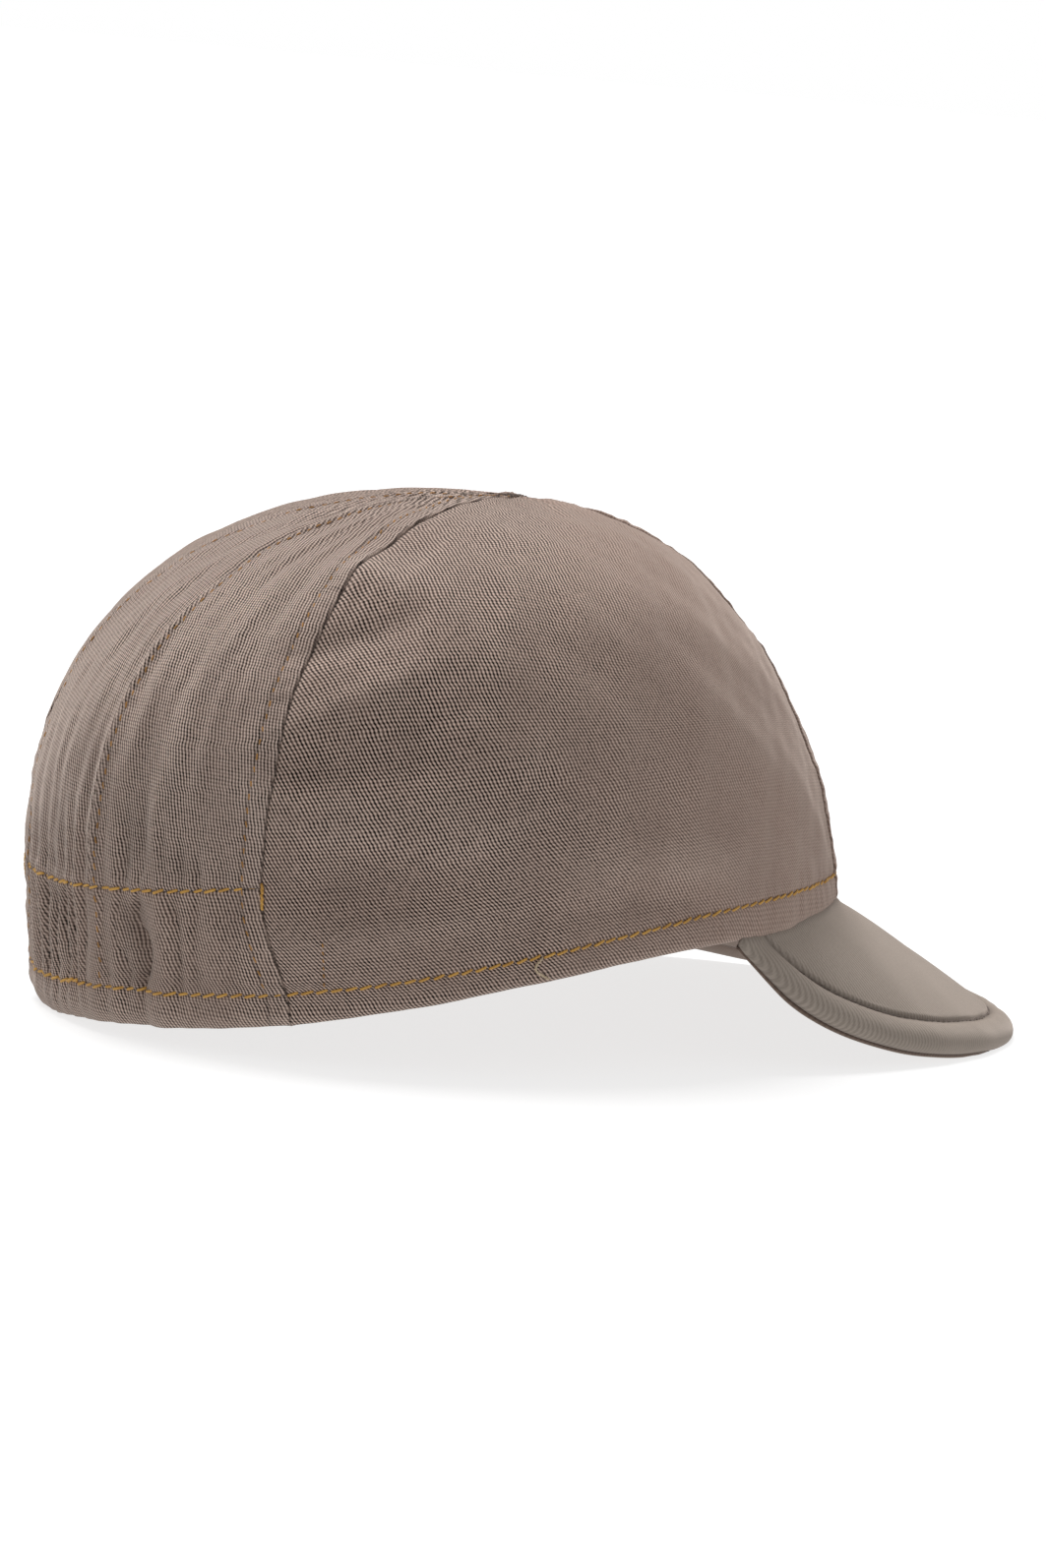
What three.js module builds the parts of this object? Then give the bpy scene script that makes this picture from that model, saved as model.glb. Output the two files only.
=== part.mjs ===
// A soft five-panel cap with a short peak and an elasticated back, resting on a table on the back
// of its rim and on the edge of its peak. Millimetres, +Z up, peak towards -Y, wearer's right at -X,
// the origin on the table under the middle of the cap.
//
// Each piece is made in the cap's own frame, where the rim lies level round the origin. Places on the
// crown are an azimuth, in degrees from the middle of the front towards the wearer's right, and a row,
// from 0 at the rim to 1 at the apex where the seams meet.
import * as THREE from "three";

// Head opening
const HALF_LENGTH = 98;
const HALF_WIDTH = 77;
const FRONT_DIP = 2.5; // the rim hangs lower in front, where the peak pulls on it
const SIDE_ARCH = 9.5; // and arches up over each ear
const SAG = { azimuth: 208, width: 20, depth: 5.5 }; // the slack back hangs lower on the left
const BACK_PULL = 1.4; // the elastic draws the rim in behind
const BACK_PULL_RISE = 0.4; // share of the crown's height up to which it does so

// Crown
const APEX_HEIGHT = 94.5;
const APEX_AHEAD = 29;
const CROWN_SLOPE = 0.2; // the top falls towards the front by this share of the way
const SWELL_RISE = 0.62;
const APEX_GAP = 1.5; // the panels' tips stop this far from the apex
const SECTIONS = {
  front: { roundness: 1.18, steepness: 1.33, swell: 1.8 },
  side: { roundness: 0.61, steepness: 0.73, swell: -0.8 },
  back: { roundness: 0.75, steepness: 0.5, swell: -0.2 },
};
const SEAMS = {
  frontRight: { start: 40, drift: 24, bend: -8 },
  backRight: { start: 148, drift: 1, bend: -2.5 },
  centreBack: { start: 180, drift: 0, bend: 0 },
};

// Cloth
const CLOTH = 1.6;
const GAP = 0.3;
const HEM_HEIGHT = 5.8;
const HEM_WALL = 2.4;
const BAND_HEIGHT = 30.5;
const BAND_WALL = 3;
const LEVEL_LENGTH = 140; // a row near the rim is its share of this length up the wall

// Peak
const PEAK_CORNER = 80.4; // azimuth of its corners
const PEAK_LENGTH = 66.5;
const PEAK_CORNER_LENGTH = 2.5;
const PEAK_OUTLINE = { fullness: 2, roundness: 2.7 };
const PEAK_SLOPE = { middle: 34.3, right: 48, left: 36, curve: 1.4 }; // degrees down, at its middle and corners
const PEAK_SPREAD = 0.35; // its corners point this much outwards for each part forwards
const PEAK_ROLL = 9; // width of its rolled edge with the stitched groove, less where the peak is short
const PEAK_DROP = 0.45; // below the hem that it is sewn under
const PEAK_SEAT = 2.1; // the top cloth's smooth middle lies this far above the line that falls from the rim

// Rest on the table
const REST_PITCH = 9.38; // degrees that the front is tipped up
const REST_LIFT = 17.8; // the middle of the rim stands this far above the table

// Broad folds of the panels: a ridge, or a valley where its height is below zero
const FOLDS = [
  { azimuth: 137, up: 42, halfLength: 24, halfWidth: 8, turn: -18, height: 1.5 },
  { azimuth: 115, up: 47, halfLength: 18, halfWidth: 8, turn: 12, height: 0.9 },
  { azimuth: 137, up: 53, halfLength: 21, halfWidth: 6, turn: -4, height: -1.2 },
  { azimuth: 138, up: 68, halfLength: 20, halfWidth: 6, turn: 17, height: 0.9 },
  { azimuth: 142, up: 85, halfLength: 18, halfWidth: 7, turn: 9, height: -1.2 },
  { azimuth: 146, up: 105, halfLength: 16, halfWidth: 7, turn: -22, height: 1 },
  { azimuth: 142, up: 119, halfLength: 20, halfWidth: 8, turn: -28, height: -0.7 },
  { azimuth: 131, up: 18, halfLength: 28, halfWidth: 5, turn: -1, height: 1.2 },
  { azimuth: 139, up: 28, halfLength: 18, halfWidth: 6, turn: -6, height: -1 },
  { azimuth: 93, up: 21, halfLength: 26, halfWidth: 7, turn: -10, height: 1.4 },
  { azimuth: 94, up: 11, halfLength: 22, halfWidth: 5, turn: -10, height: -1 },
  { azimuth: 75, up: 43, halfLength: 20, halfWidth: 8, turn: -32, height: 0.8 },
  { azimuth: 234, up: 36, halfLength: 26, halfWidth: 8, turn: -6, height: 1.3 },
  { azimuth: 260, up: 54, halfLength: 24, halfWidth: 9, turn: 12, height: -1 },
  { azimuth: 283, up: 27, halfLength: 24, halfWidth: 7, turn: 8, height: 1.2 },
];

// Gathers over the elastic: valleys in degrees from the middle of the back towards the wearer's right
const GATHERS = [
  { at: 26.5, width: 2.6, depth: 0.7, fade: 14 },
  { at: 20.5, width: 2.1, depth: 0.9, fade: 22 },
  { at: 17, width: 1.9, depth: 1.1, fade: 18 },
  { at: 10, width: 2.2, depth: 1.9, fade: 26 },
  { at: 6.5, width: 1.7, depth: 1.1, fade: 24 },
  { at: 2.5, width: 1.5, depth: 0.9, fade: 40 },
  { at: -2.5, width: 1.5, depth: 1, fade: 40 },
  { at: -6.3, width: 1.7, depth: 1.5, fade: 28 },
  { at: -9.8, width: 1.7, depth: 1.6, fade: 22 },
  { at: -13.3, width: 1.8, depth: 1.5, fade: 26 },
  { at: -17.2, width: 2, depth: 1.7, fade: 20 },
  { at: -22, width: 2.2, depth: 1.2, fade: 24 },
  { at: -27.5, width: 2.2, depth: 0.8, fade: 14 },
];

// Cross section of the peak's top cloth, from its edge inwards: its upper face lies this far above the
// sheet, first on the padded roll at the edge, then in the stitched groove, then on the smooth middle.
// A row is at its inset from the edge, and past the roll at its share of the way to the rim.
const PEAK_ROWS = [
  { inset: 0, share: 0, above: -1.3 },
  { inset: 0.8, share: 0, above: -0.2 },
  { inset: 2.6, share: 0, above: 0.7 },
  { inset: 5, share: 0, above: 0.7 },
  { inset: 7, share: 0, above: 0 },
  { inset: 7.8, share: 0, above: -0.5 },
  { inset: PEAK_ROLL, share: 0, above: 0 },
  { inset: PEAK_ROLL, share: 0.28, above: 0.3 },
  { inset: PEAK_ROLL, share: 0.64, above: 0.2 },
  { inset: PEAK_ROLL, share: 1, above: 0 },
];

// Numbers of facets across a piece and up it
const FACETS = {
  front: { across: 16, up: 15 },
  side: { across: 22, up: 16 },
  back: { across: 22, up: 15 },
  band: { across: 72, up: 6 },
  peak: { across: 30 },
  meridian: 120,
};

const COLOURS = { cloth: 0x7b6c63, band: 0x776860, peak: 0x7a6e67, under: 0x6f625b };

const { degToRad, radToDeg, clamp, lerp } = THREE.MathUtils;
const quarterTurn = Math.PI / 2;

// Share of the front, side and back sections at an azimuth in radians
function shares(azimuth) {
  const front = Math.max(Math.cos(azimuth), 0) ** 2;
  const back = Math.max(-Math.cos(azimuth), 0) ** 2;
  return { front, side: 1 - front - back, back };
}

function sectionAt(azimuth) {
  const share = shares(azimuth);
  const mixed = (key) => Object.keys(SECTIONS).reduce((sum, name) => sum + share[name] * SECTIONS[name][key], 0);
  return { roundness: mixed("roundness"), steepness: mixed("steepness"), swell: mixed("swell"), back: share.back };
}

function rimPoint(azimuth) {
  const ahead = Math.max(Math.cos(azimuth), 0);
  const sag = SAG.depth * Math.exp(-(((turned(azimuth) - SAG.azimuth) / SAG.width) ** 2));
  return new THREE.Vector3(
    -HALF_WIDTH * Math.sin(azimuth),
    -HALF_LENGTH * Math.cos(azimuth),
    SIDE_ARCH * Math.sin(azimuth) ** 2 - FRONT_DIP * ahead ** 2 - sag,
  );
}

// Height at which a point meets the table: the rim's lowest stretch is pressed flat on it
function pressedFlat(point) {
  const pitch = degToRad(REST_PITCH);
  const table = (point.y * Math.sin(pitch) - REST_LIFT) / Math.cos(pitch);
  return Math.max(point.z, table);
}

// A point of the crown's outer face: climb runs from 0 at the rim to a quarter turn at the apex
function domePoint(azimuth, climb) {
  const section = sectionAt(azimuth);
  const reach = Math.max(Math.cos(climb), 0) ** section.roundness;
  const rise = Math.max(Math.sin(climb), 0) ** section.steepness;
  const rim = rimPoint(azimuth);
  const x = rim.x;
  const y = rim.y + APEX_AHEAD;
  const bulge = section.swell * Math.sin(Math.PI * clamp(rise / SWELL_RISE, 0, 1)) ** 2;
  const out = reach * (1 + bulge / Math.hypot(x, y));
  const point = new THREE.Vector3(x * out, y * out - APEX_AHEAD, 0);
  point.z = lerp(rim.z, APEX_HEIGHT, rise) + CROWN_SLOPE * y * out * (1 - reach);
  const pull = BACK_PULL * section.back ** 2 * Math.max(1 - rise / BACK_PULL_RISE, 0) ** 2;
  const shrink = 1 - pull / Math.hypot(point.x, point.y);
  point.x *= shrink;
  point.y *= shrink;
  point.z = pressedFlat(point);
  return point;
}

// The crown's section at an azimuth, with the length of cloth from the rim to each of its points
const meridians = new Map();
function meridianAt(azimuth) {
  const key = azimuth.toFixed(6);
  if (!meridians.has(key)) {
    const points = [];
    const lengths = [0];
    for (let i = 0; i <= FACETS.meridian; i++) {
      const climb = quarterTurn * (1 - (1 - i / FACETS.meridian) ** 3);
      points.push(domePoint(azimuth, climb));
      if (i > 0) lengths.push(lengths[i - 1] + points[i].distanceTo(points[i - 1]));
    }
    meridians.set(key, { points, lengths });
  }
  return meridians.get(key);
}

// Length of cloth from the rim to a row: near the rim the rows run level, and they close on the apex
function lengthUp(azimuth, row) {
  const whole = meridianAt(azimuth).lengths.at(-1);
  const level = BAND_HEIGHT / LEVEL_LENGTH;
  const closing = clamp((row - level) / (1 - level), 0, 1);
  return row * LEVEL_LENGTH + (whole - LEVEL_LENGTH) * closing ** 2 * (3 - 2 * closing);
}

function smoothPoint(azimuth, row) {
  const { points, lengths } = meridianAt(azimuth);
  const up = clamp(lengthUp(azimuth, row), 0, lengths.at(-1) - APEX_GAP);
  let i = 1;
  while (lengths[i] < up) i++;
  const share = (up - lengths[i - 1]) / (lengths[i] - lengths[i - 1]);
  return points[i - 1].clone().lerp(points[i], share);
}

// Outward direction of the smooth crown
function outward(azimuth, row) {
  const turn = degToRad(1.5);
  const step = 0.012;
  const low = Math.max(row - step, 0);
  const high = Math.min(row + step, 0.985);
  const across = smoothPoint(azimuth + turn, row).sub(smoothPoint(azimuth - turn, row));
  const up = smoothPoint(azimuth, high).sub(smoothPoint(azimuth, Math.min(low, high - step)));
  return up.cross(across).normalize();
}

// An azimuth in radians as degrees from 0 to 360
function turned(azimuth) {
  return THREE.MathUtils.euclideanModulo(radToDeg(azimuth), 360);
}

// Height of the broad folds at a place on the crown
function foldHeight(azimuth, up) {
  const radius = (HALF_LENGTH + HALF_WIDTH) / 2;
  return FOLDS.reduce((sum, fold) => {
    const across = degToRad(fold.azimuth - turned(azimuth)) * radius;
    const above = up - fold.up;
    const turn = degToRad(fold.turn);
    const along = (across * Math.cos(turn) + above * Math.sin(turn)) / fold.halfLength;
    const aside = (above * Math.cos(turn) - across * Math.sin(turn)) / fold.halfWidth;
    return sum + fold.height * Math.exp(-(along ** 2) - aside ** 2);
  }, 0);
}

// Depth of the gathers: full between the band's two lines of stitches, pinched at them, fading above
function gatherDepth(azimuth, up) {
  return GATHERS.reduce((sum, gather) => {
    const aside = (180 - turned(azimuth) - gather.at) / gather.width;
    const pinch = 1 - 0.55 * Math.exp(-(((up - BAND_HEIGHT) / 2.5) ** 2)) - 0.4 * Math.exp(-(((up - HEM_HEIGHT) / 2) ** 2));
    const hold = up > BAND_HEIGHT ? Math.exp(-(((up - BAND_HEIGHT) / gather.fade) ** 2)) : 1;
    return sum + gather.depth * pinch * hold * Math.exp(-(aside ** 2));
  }, 0);
}

// A point a given depth inside the crown's outer face, folds and gathers included
function clothPoint(azimuth, row, depth) {
  const up = lengthUp(azimuth, row);
  const relief = foldHeight(azimuth, up) - gatherDepth(azimuth, up);
  return smoothPoint(azimuth, row).addScaledVector(outward(azimuth, row), relief - depth);
}

// Azimuth of a seam at a row; the left-hand seams mirror the right-hand ones
function seamAzimuth(name, row, side) {
  const seam = SEAMS[name];
  return side * degToRad(seam.start + seam.drift * row + seam.bend * row ** 2);
}

// One closed wall between an outer and an inner face, each a function of shares across and up
function wallGeometry(across, up, outer, inner) {
  const positions = [];
  const faces = [outer, inner];
  for (const face of faces) {
    for (let j = 0; j <= up; j++) {
      for (let i = 0; i <= across; i++) positions.push(...face(i / across, j).toArray());
    }
  }
  const index = (layer, i, j) => (layer * (up + 1) + j) * (across + 1) + i;
  const triangles = [];
  const quad = (a, b, c, d) => triangles.push(a, b, c, a, c, d);
  for (let j = 0; j < up; j++) {
    for (let i = 0; i < across; i++) {
      quad(index(0, i, j), index(0, i + 1, j), index(0, i + 1, j + 1), index(0, i, j + 1));
      quad(index(1, i, j), index(1, i, j + 1), index(1, i + 1, j + 1), index(1, i + 1, j));
    }
    quad(index(0, 0, j), index(0, 0, j + 1), index(1, 0, j + 1), index(1, 0, j));
    quad(index(0, across, j), index(1, across, j), index(1, across, j + 1), index(0, across, j + 1));
  }
  for (let i = 0; i < across; i++) {
    quad(index(0, i, 0), index(1, i, 0), index(1, i + 1, 0), index(0, i + 1, 0));
    quad(index(0, i, up), index(0, i + 1, up), index(1, i + 1, up), index(1, i, up));
  }
  return closedGeometry(positions, triangles);
}

// Six times the volume that the triangles enclose, above zero where they face outwards
function signedVolume(positions, triangles) {
  const corner = (i) => new THREE.Vector3().fromArray(positions, 3 * triangles[i]);
  let sum = 0;
  for (let i = 0; i < triangles.length; i += 3) sum += corner(i).dot(corner(i + 1).cross(corner(i + 2)));
  return sum;
}

function closedGeometry(positions, triangles) {
  if (signedVolume(positions, triangles) < 0) triangles.reverse();
  const geometry = new THREE.BufferGeometry();
  geometry.setAttribute("position", new THREE.Float32BufferAttribute(positions, 3));
  geometry.setIndex(triangles);
  geometry.computeVertexNormals();
  return geometry;
}

function cloth(colour) {
  return new THREE.MeshStandardMaterial({ color: colour, roughness: 0.9, metalness: 0 });
}

function piece(name, geometry, colour) {
  const mesh = new THREE.Mesh(geometry, cloth(colour));
  mesh.name = name;
  return mesh;
}

// Half the gap between two pieces, in radians at a point of the crown
function halfGap(azimuth, row) {
  const turn = degToRad(1);
  const width = smoothPoint(azimuth + turn, row).distanceTo(smoothPoint(azimuth - turn, row));
  return GAP * turn / Math.max(width, 0.05);
}

// A panel between two seams, from a row near the rim to the apex
function panelGeometry(edges, facets, firstRows, wallAt) {
  const rows = [...firstRows];
  const start = rows.at(-1);
  for (let i = 1; rows.length <= facets.up; i++) {
    rows.push(lerp(start, 1, i / (facets.up + 1 - firstRows.length)));
  }
  const face = (depthAt) => (share, j) => {
    const row = rows[j];
    const [low, high] = edges.map((edge) => seamAzimuth(edge.seam, row, edge.side));
    const turn = Math.sign(high - low);
    const azimuth = lerp(low + turn * halfGap(low, row), high - turn * halfGap(high, row), share);
    return clothPoint(azimuth, row, depthAt(row));
  };
  return wallGeometry(facets.across, facets.up, face(() => 0), face(wallAt));
}

// The hem at the rim is folded double
const hemRow = HEM_HEIGHT / LEVEL_LENGTH;
const bandRow = BAND_HEIGHT / LEVEL_LENGTH;
const hemmedWall = (row) => (row <= hemRow ? HEM_WALL : CLOTH);
const hemRows = [0, hemRow, hemRow * 1.2];
const aboveBand = [(BAND_HEIGHT + GAP) / LEVEL_LENGTH];

function frontPanel() {
  const edges = [
    { seam: "frontRight", side: -1 },
    { seam: "frontRight", side: 1 },
  ];
  return piece("front_panel", panelGeometry(edges, FACETS.front, hemRows, hemmedWall), COLOURS.cloth);
}

function sidePanel(name, side) {
  const edges = [
    { seam: "frontRight", side },
    { seam: "backRight", side },
  ];
  return piece(name, panelGeometry(edges, FACETS.side, hemRows, hemmedWall), COLOURS.cloth);
}

function backPanel(name, side) {
  const edges = [
    { seam: "backRight", side },
    { seam: "centreBack", side },
  ];
  return piece(name, panelGeometry(edges, FACETS.back, aboveBand, () => CLOTH), COLOURS.cloth);
}

// The elastic's casing, from the rim up to the back panels
function backBand() {
  const face = (depth) => (share, j) => {
    const row = (bandRow * j) / FACETS.band.up;
    const edge = seamAzimuth("backRight", row, 1);
    const azimuth = lerp(edge + halfGap(edge, row), 2 * Math.PI - edge - halfGap(edge, row), share);
    return clothPoint(azimuth, row, depth);
  };
  return piece("back_band", wallGeometry(FACETS.band.across, FACETS.band.up, face(0), face(BAND_WALL)), COLOURS.band);
}

// The peak's sheet leaves the rim at an azimuth within its corners and falls forwards
function peakFrame(azimuth) {
  const share = Math.min(Math.abs(azimuth) / degToRad(PEAK_CORNER), 1);
  const outline = (1 - share ** PEAK_OUTLINE.fullness) ** (1 / PEAK_OUTLINE.roundness);
  const corner = azimuth > 0 ? PEAK_SLOPE.right : PEAK_SLOPE.left;
  const slope = degToRad(lerp(PEAK_SLOPE.middle, corner, share ** PEAK_SLOPE.curve));
  const heading = new THREE.Vector3(-PEAK_SPREAD * Math.sin(azimuth), -1, 0).normalize();
  const root = rimPoint(azimuth);
  root.z -= PEAK_DROP;
  return {
    root,
    fall: heading.multiplyScalar(Math.cos(slope)).setZ(-Math.sin(slope)),
    length: lerp(PEAK_CORNER_LENGTH, PEAK_LENGTH, outline),
  };
}

// A point of the peak on one of its rows, a height above the sheet
function peakPoint(azimuth, row, above) {
  const turn = degToRad(1);
  const { fall, length } = peakFrame(azimuth);
  const scale = Math.min(length / (2.5 * PEAK_ROLL), 1);
  const run = length - row.inset * scale - row.share * (length - PEAK_ROLL * scale);
  const at = (other) => {
    const frame = peakFrame(other);
    return frame.root.addScaledVector(frame.fall, run);
  };
  const normal = at(azimuth + turn).sub(at(azimuth - turn)).cross(fall).normalize();
  return at(azimuth).addScaledVector(normal, PEAK_SEAT + (above > 0 ? above * scale : above));
}

// The columns stand closer together towards the corners, where the outline turns
function peakSheet(name, colour, topAt, bottomAt) {
  const spread = (share) => degToRad(PEAK_CORNER) * Math.sin(Math.PI * (share - 0.5));
  const face = (heightAt) => (share, j) => peakPoint(spread(share), PEAK_ROWS[j], heightAt(PEAK_ROWS[j]));
  return piece(name, wallGeometry(FACETS.peak.across, PEAK_ROWS.length - 1, face(topAt), face(bottomAt)), colour);
}

function peak() {
  const topThickness = 1.7;
  return [
    peakSheet("peak_top", COLOURS.peak, (row) => row.above, (row) => Math.min(row.above, 0) - topThickness),
    peakSheet(
      "peak_under",
      COLOURS.under,
      (row) => Math.min(row.above, 0) - topThickness - GAP,
      (row) => -topThickness - GAP - CLOTH - Math.max(-row.above, 0) * 0.3,
    ),
  ];
}

const cap = new THREE.Group();
cap.add(
  frontPanel(),
  sidePanel("side_panel_right", 1),
  sidePanel("side_panel_left", -1),
  backPanel("back_panel_right", 1),
  backPanel("back_panel_left", -1),
  backBand(),
  ...peak(),
);
cap.rotation.x = -degToRad(REST_PITCH);
const standing = new THREE.Box3().setFromObject(cap, true);
const middle = standing.getCenter(new THREE.Vector3());
cap.position.set(-middle.x, -middle.y, -standing.min.z);

export default cap;
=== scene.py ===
"""Dresses a soft five-panel cap with a short peak and an elasticated back.

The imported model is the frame. Every piece of cloth is laid over the crown's or the peak's own form, which
is worked out from the same few sizes as the solids, in the cap's own frame: the rim lies level round the
origin, +Z is up and the peak points to -Y. Places on the crown are an azimuth, from the middle of the front
towards the wearer's right, and a row, from 0 at the rim to 1 at the apex. Lengths are in metres.
"""
from __future__ import annotations

import logging
import math
from dataclasses import dataclass
from enum import Enum

import bpy
import numpy as np
from mathutils import Matrix, Vector


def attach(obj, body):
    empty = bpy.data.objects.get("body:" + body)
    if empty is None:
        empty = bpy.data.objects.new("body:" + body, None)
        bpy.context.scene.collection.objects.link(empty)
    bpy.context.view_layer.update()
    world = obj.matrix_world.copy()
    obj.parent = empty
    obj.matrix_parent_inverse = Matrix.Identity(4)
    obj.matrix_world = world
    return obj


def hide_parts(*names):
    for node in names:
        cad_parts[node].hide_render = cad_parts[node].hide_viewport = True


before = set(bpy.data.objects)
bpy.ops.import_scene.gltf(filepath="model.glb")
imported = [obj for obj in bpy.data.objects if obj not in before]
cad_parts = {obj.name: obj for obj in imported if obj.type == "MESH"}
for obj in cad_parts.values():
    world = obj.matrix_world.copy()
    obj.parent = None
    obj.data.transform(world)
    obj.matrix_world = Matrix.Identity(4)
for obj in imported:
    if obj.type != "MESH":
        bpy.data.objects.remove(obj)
LOG = logging.getLogger("cap")

MM = 0.001
BODY = "root"
Array = np.ndarray
Colour = tuple[float, float, float]
FAINT_WEAVE = 0.2


def smoothstep(low: float, high: float, value: Array) -> Array:
    """Rises smoothly from 0 at low to 1 at high.

    Args:
        low: value at which the rise starts.
        high: value at which it ends.
        value: where it is read.

    Returns:
        The share of the rise, from 0 to 1.
    """
    share = np.clip((value - low) / (high - low), 0, 1)
    return share**2 * (3 - 2 * share)


def bump(value: Array, centre: float, width: float) -> Array:
    """A rounded hump of height 1 at centre, fading over width."""
    return np.exp(-(((value - centre) / width) ** 2))


def ripple(across: Array, along: Array, seed: float) -> Array:
    """A gentle irregular swell, made of a few waves that don't repeat together.

    Args:
        across: first coordinate, in wavelengths.
        along: second coordinate, in wavelengths.
        seed: shifts the waves, so that each piece has its own.

    Returns:
        Values between about -1 and 1.
    """
    waves = ((1.0, 0.23, 0.0), (-0.37, 0.91, 1.7), (0.71, -0.64, 4.1), (1.43, 0.58, 2.6), (-1.12, 1.31, 5.3))
    total = sum(np.sin(2 * math.pi * (across * x + along * y) + phase * (1 + seed)) for x, y, phase in waves)
    return total / 3


@dataclass(frozen=True)
class Section:
    """How the crown rises from the rim on one side: its roundness in plan, its steepness and its swell."""

    roundness: float
    steepness: float
    swell: float


@dataclass(frozen=True)
class Seam:
    """A seam's azimuth in degrees: where it starts at the rim, and its drift and bend up to the apex.

    A seam beside the elastic is also pulled: back at the band's upper stitches, and ahead below them.
    """

    start: float
    drift: float = 0.0
    bend: float = 0.0
    pulled_back: float = 0.0
    pulled_ahead: float = 0.0
    pulled_at: float = 0.21
    pulled_over: float = 0.09

    def azimuth(self, row: Array, side: int = 1) -> Array:
        """Azimuth in radians at a row, mirrored for the wearer's left where side is -1."""
        degrees = self.start + self.drift * row + self.bend * row**2
        degrees += self.pulled_back * bump(row, self.pulled_at, self.pulled_over)
        degrees -= self.pulled_ahead * (1 - smoothstep(0, self.pulled_at, row))
        return side * np.radians(degrees)


@dataclass(frozen=True)
class Fold:
    """A broad ridge of the cloth, or a valley where its height is below zero.

    It lies round an azimuth, a length up from the rim, and is turned in degrees up towards the front. Its
    lengths are in millimetres.
    """

    azimuth: float
    up: float
    half_length: float
    half_width: float
    turn: float
    height: float


@dataclass(frozen=True)
class Gather:
    """A valley over the elastic, in degrees from the middle of the back towards the wearer's right.

    Its depth, and the height over which it fades above the casing, are in millimetres.
    """

    at: float
    width: float
    depth: float
    fade: float


@dataclass(frozen=True)
class Sag:
    """The rim hangs lower round an azimuth, over a width in degrees."""

    azimuth: float
    width: float
    depth: float


FRONT_SEAM = Seam(40, 24, -8)
BACK_SEAM = Seam(148, 1, -2.5, pulled_back=0.9, pulled_ahead=2.8)
MIDDLE_SEAM = Seam(180)

BROAD_FOLDS = (
    Fold(137, 42, 24, 8, -18, 1.5),
    Fold(115, 47, 18, 8, 12, 0.9),
    Fold(137, 53, 21, 6, -4, -1.2),
    Fold(138, 68, 20, 6, 17, 0.9),
    Fold(142, 85, 18, 7, 9, -1.2),
    Fold(146, 105, 16, 7, -22, 1.0),
    Fold(142, 119, 20, 8, -28, -0.7),
    Fold(131, 18, 28, 5, -1, 1.2),
    Fold(139, 28, 18, 6, -6, -1.0),
    Fold(93, 21, 26, 7, -10, 1.4),
    Fold(94, 11, 22, 5, -10, -1.0),
    Fold(75, 43, 20, 8, -32, 0.8),
    Fold(234, 36, 26, 8, -6, 1.3),
    Fold(260, 54, 24, 9, 12, -1.0),
    Fold(283, 27, 24, 7, 8, 1.2),
)

# Smaller creases, which only the visible cloth has
FINE_FOLDS = (
    Fold(128, 60, 15, 2.6, 10, -0.45),
    Fold(134, 33, 12, 2.4, -20, -0.4),
    Fold(118, 34, 14, 2.8, 14, 0.4),
    Fold(104, 38, 13, 3.0, -26, -0.35),
    Fold(111, 13, 1.8, 7, 0, -0.3),
    Fold(46, 16, 6, 8, 20, -0.5),
    Fold(55, 12, 9, 3, 30, 0.4),
    Fold(144, 12, 9, 3, 35, 0.25),
    Fold(151, 52, 4, 16, 12, 0.35),
    Fold(164, 78, 3, 22, -4, 0.4),
    Fold(169, 95, 2.4, 26, -2, -0.4),
    Fold(159, 110, 2.2, 26, 3, -0.35),
    Fold(155, 132, 2.0, 22, 4, 0.35),
    Fold(166, 140, 2.0, 20, -3, -0.35),
    Fold(172.5, 38, 1.5, 6, 0, -0.5),
    Fold(169, 36, 1.6, 5, 0, 0.35),
    Fold(165.5, 40, 1.4, 7, 0, -0.5),
    Fold(162, 36, 1.2, 5, 0, -0.45),
    Fold(159, 35, 1.2, 4, 0, -0.4),
    Fold(155, 36, 1.6, 5, 0, -0.3),
    Fold(226, 50, 14, 2.6, -12, -0.4),
    Fold(246, 30, 13, 2.6, 16, 0.4),
)

GATHERS = (
    Gather(26.5, 2.6, 0.7, 14),
    Gather(20.5, 2.1, 0.9, 22),
    Gather(17, 1.9, 1.1, 18),
    Gather(10, 2.2, 1.9, 26),
    Gather(6.5, 1.7, 1.1, 24),
    Gather(2.5, 1.5, 0.9, 40),
    Gather(-2.5, 1.5, 1.0, 40),
    Gather(-6.3, 1.7, 1.5, 28),
    Gather(-9.8, 1.7, 1.6, 22),
    Gather(-13.3, 1.8, 1.5, 26),
    Gather(-17.2, 2.0, 1.7, 20),
    Gather(-22, 2.2, 1.2, 24),
    Gather(-27.5, 2.2, 0.8, 14),
)


@dataclass(frozen=True)
class CapFrame:
    """Where the cap's own frame stands at rest: the rim's middle, and how far the front is tipped up."""

    origin: Vector = Vector((-0.453 * MM, 28.243 * MM, 17.765 * MM))
    pitch: float = math.radians(9.38)

    def stand(self, points: Array) -> Array:
        """Moves points from the cap's own frame to the row's.

        Args:
            points: places in the cap's frame, xyz in the last axis.

        Returns:
            The same places in the row's frame.
        """
        return self.turn(points) + np.array(self.origin)

    def turn(self, directions: Array) -> Array:
        """Turns directions from the cap's own frame to the row's."""
        return directions @ np.array(Matrix.Rotation(-self.pitch, 3, "X")).T


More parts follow.
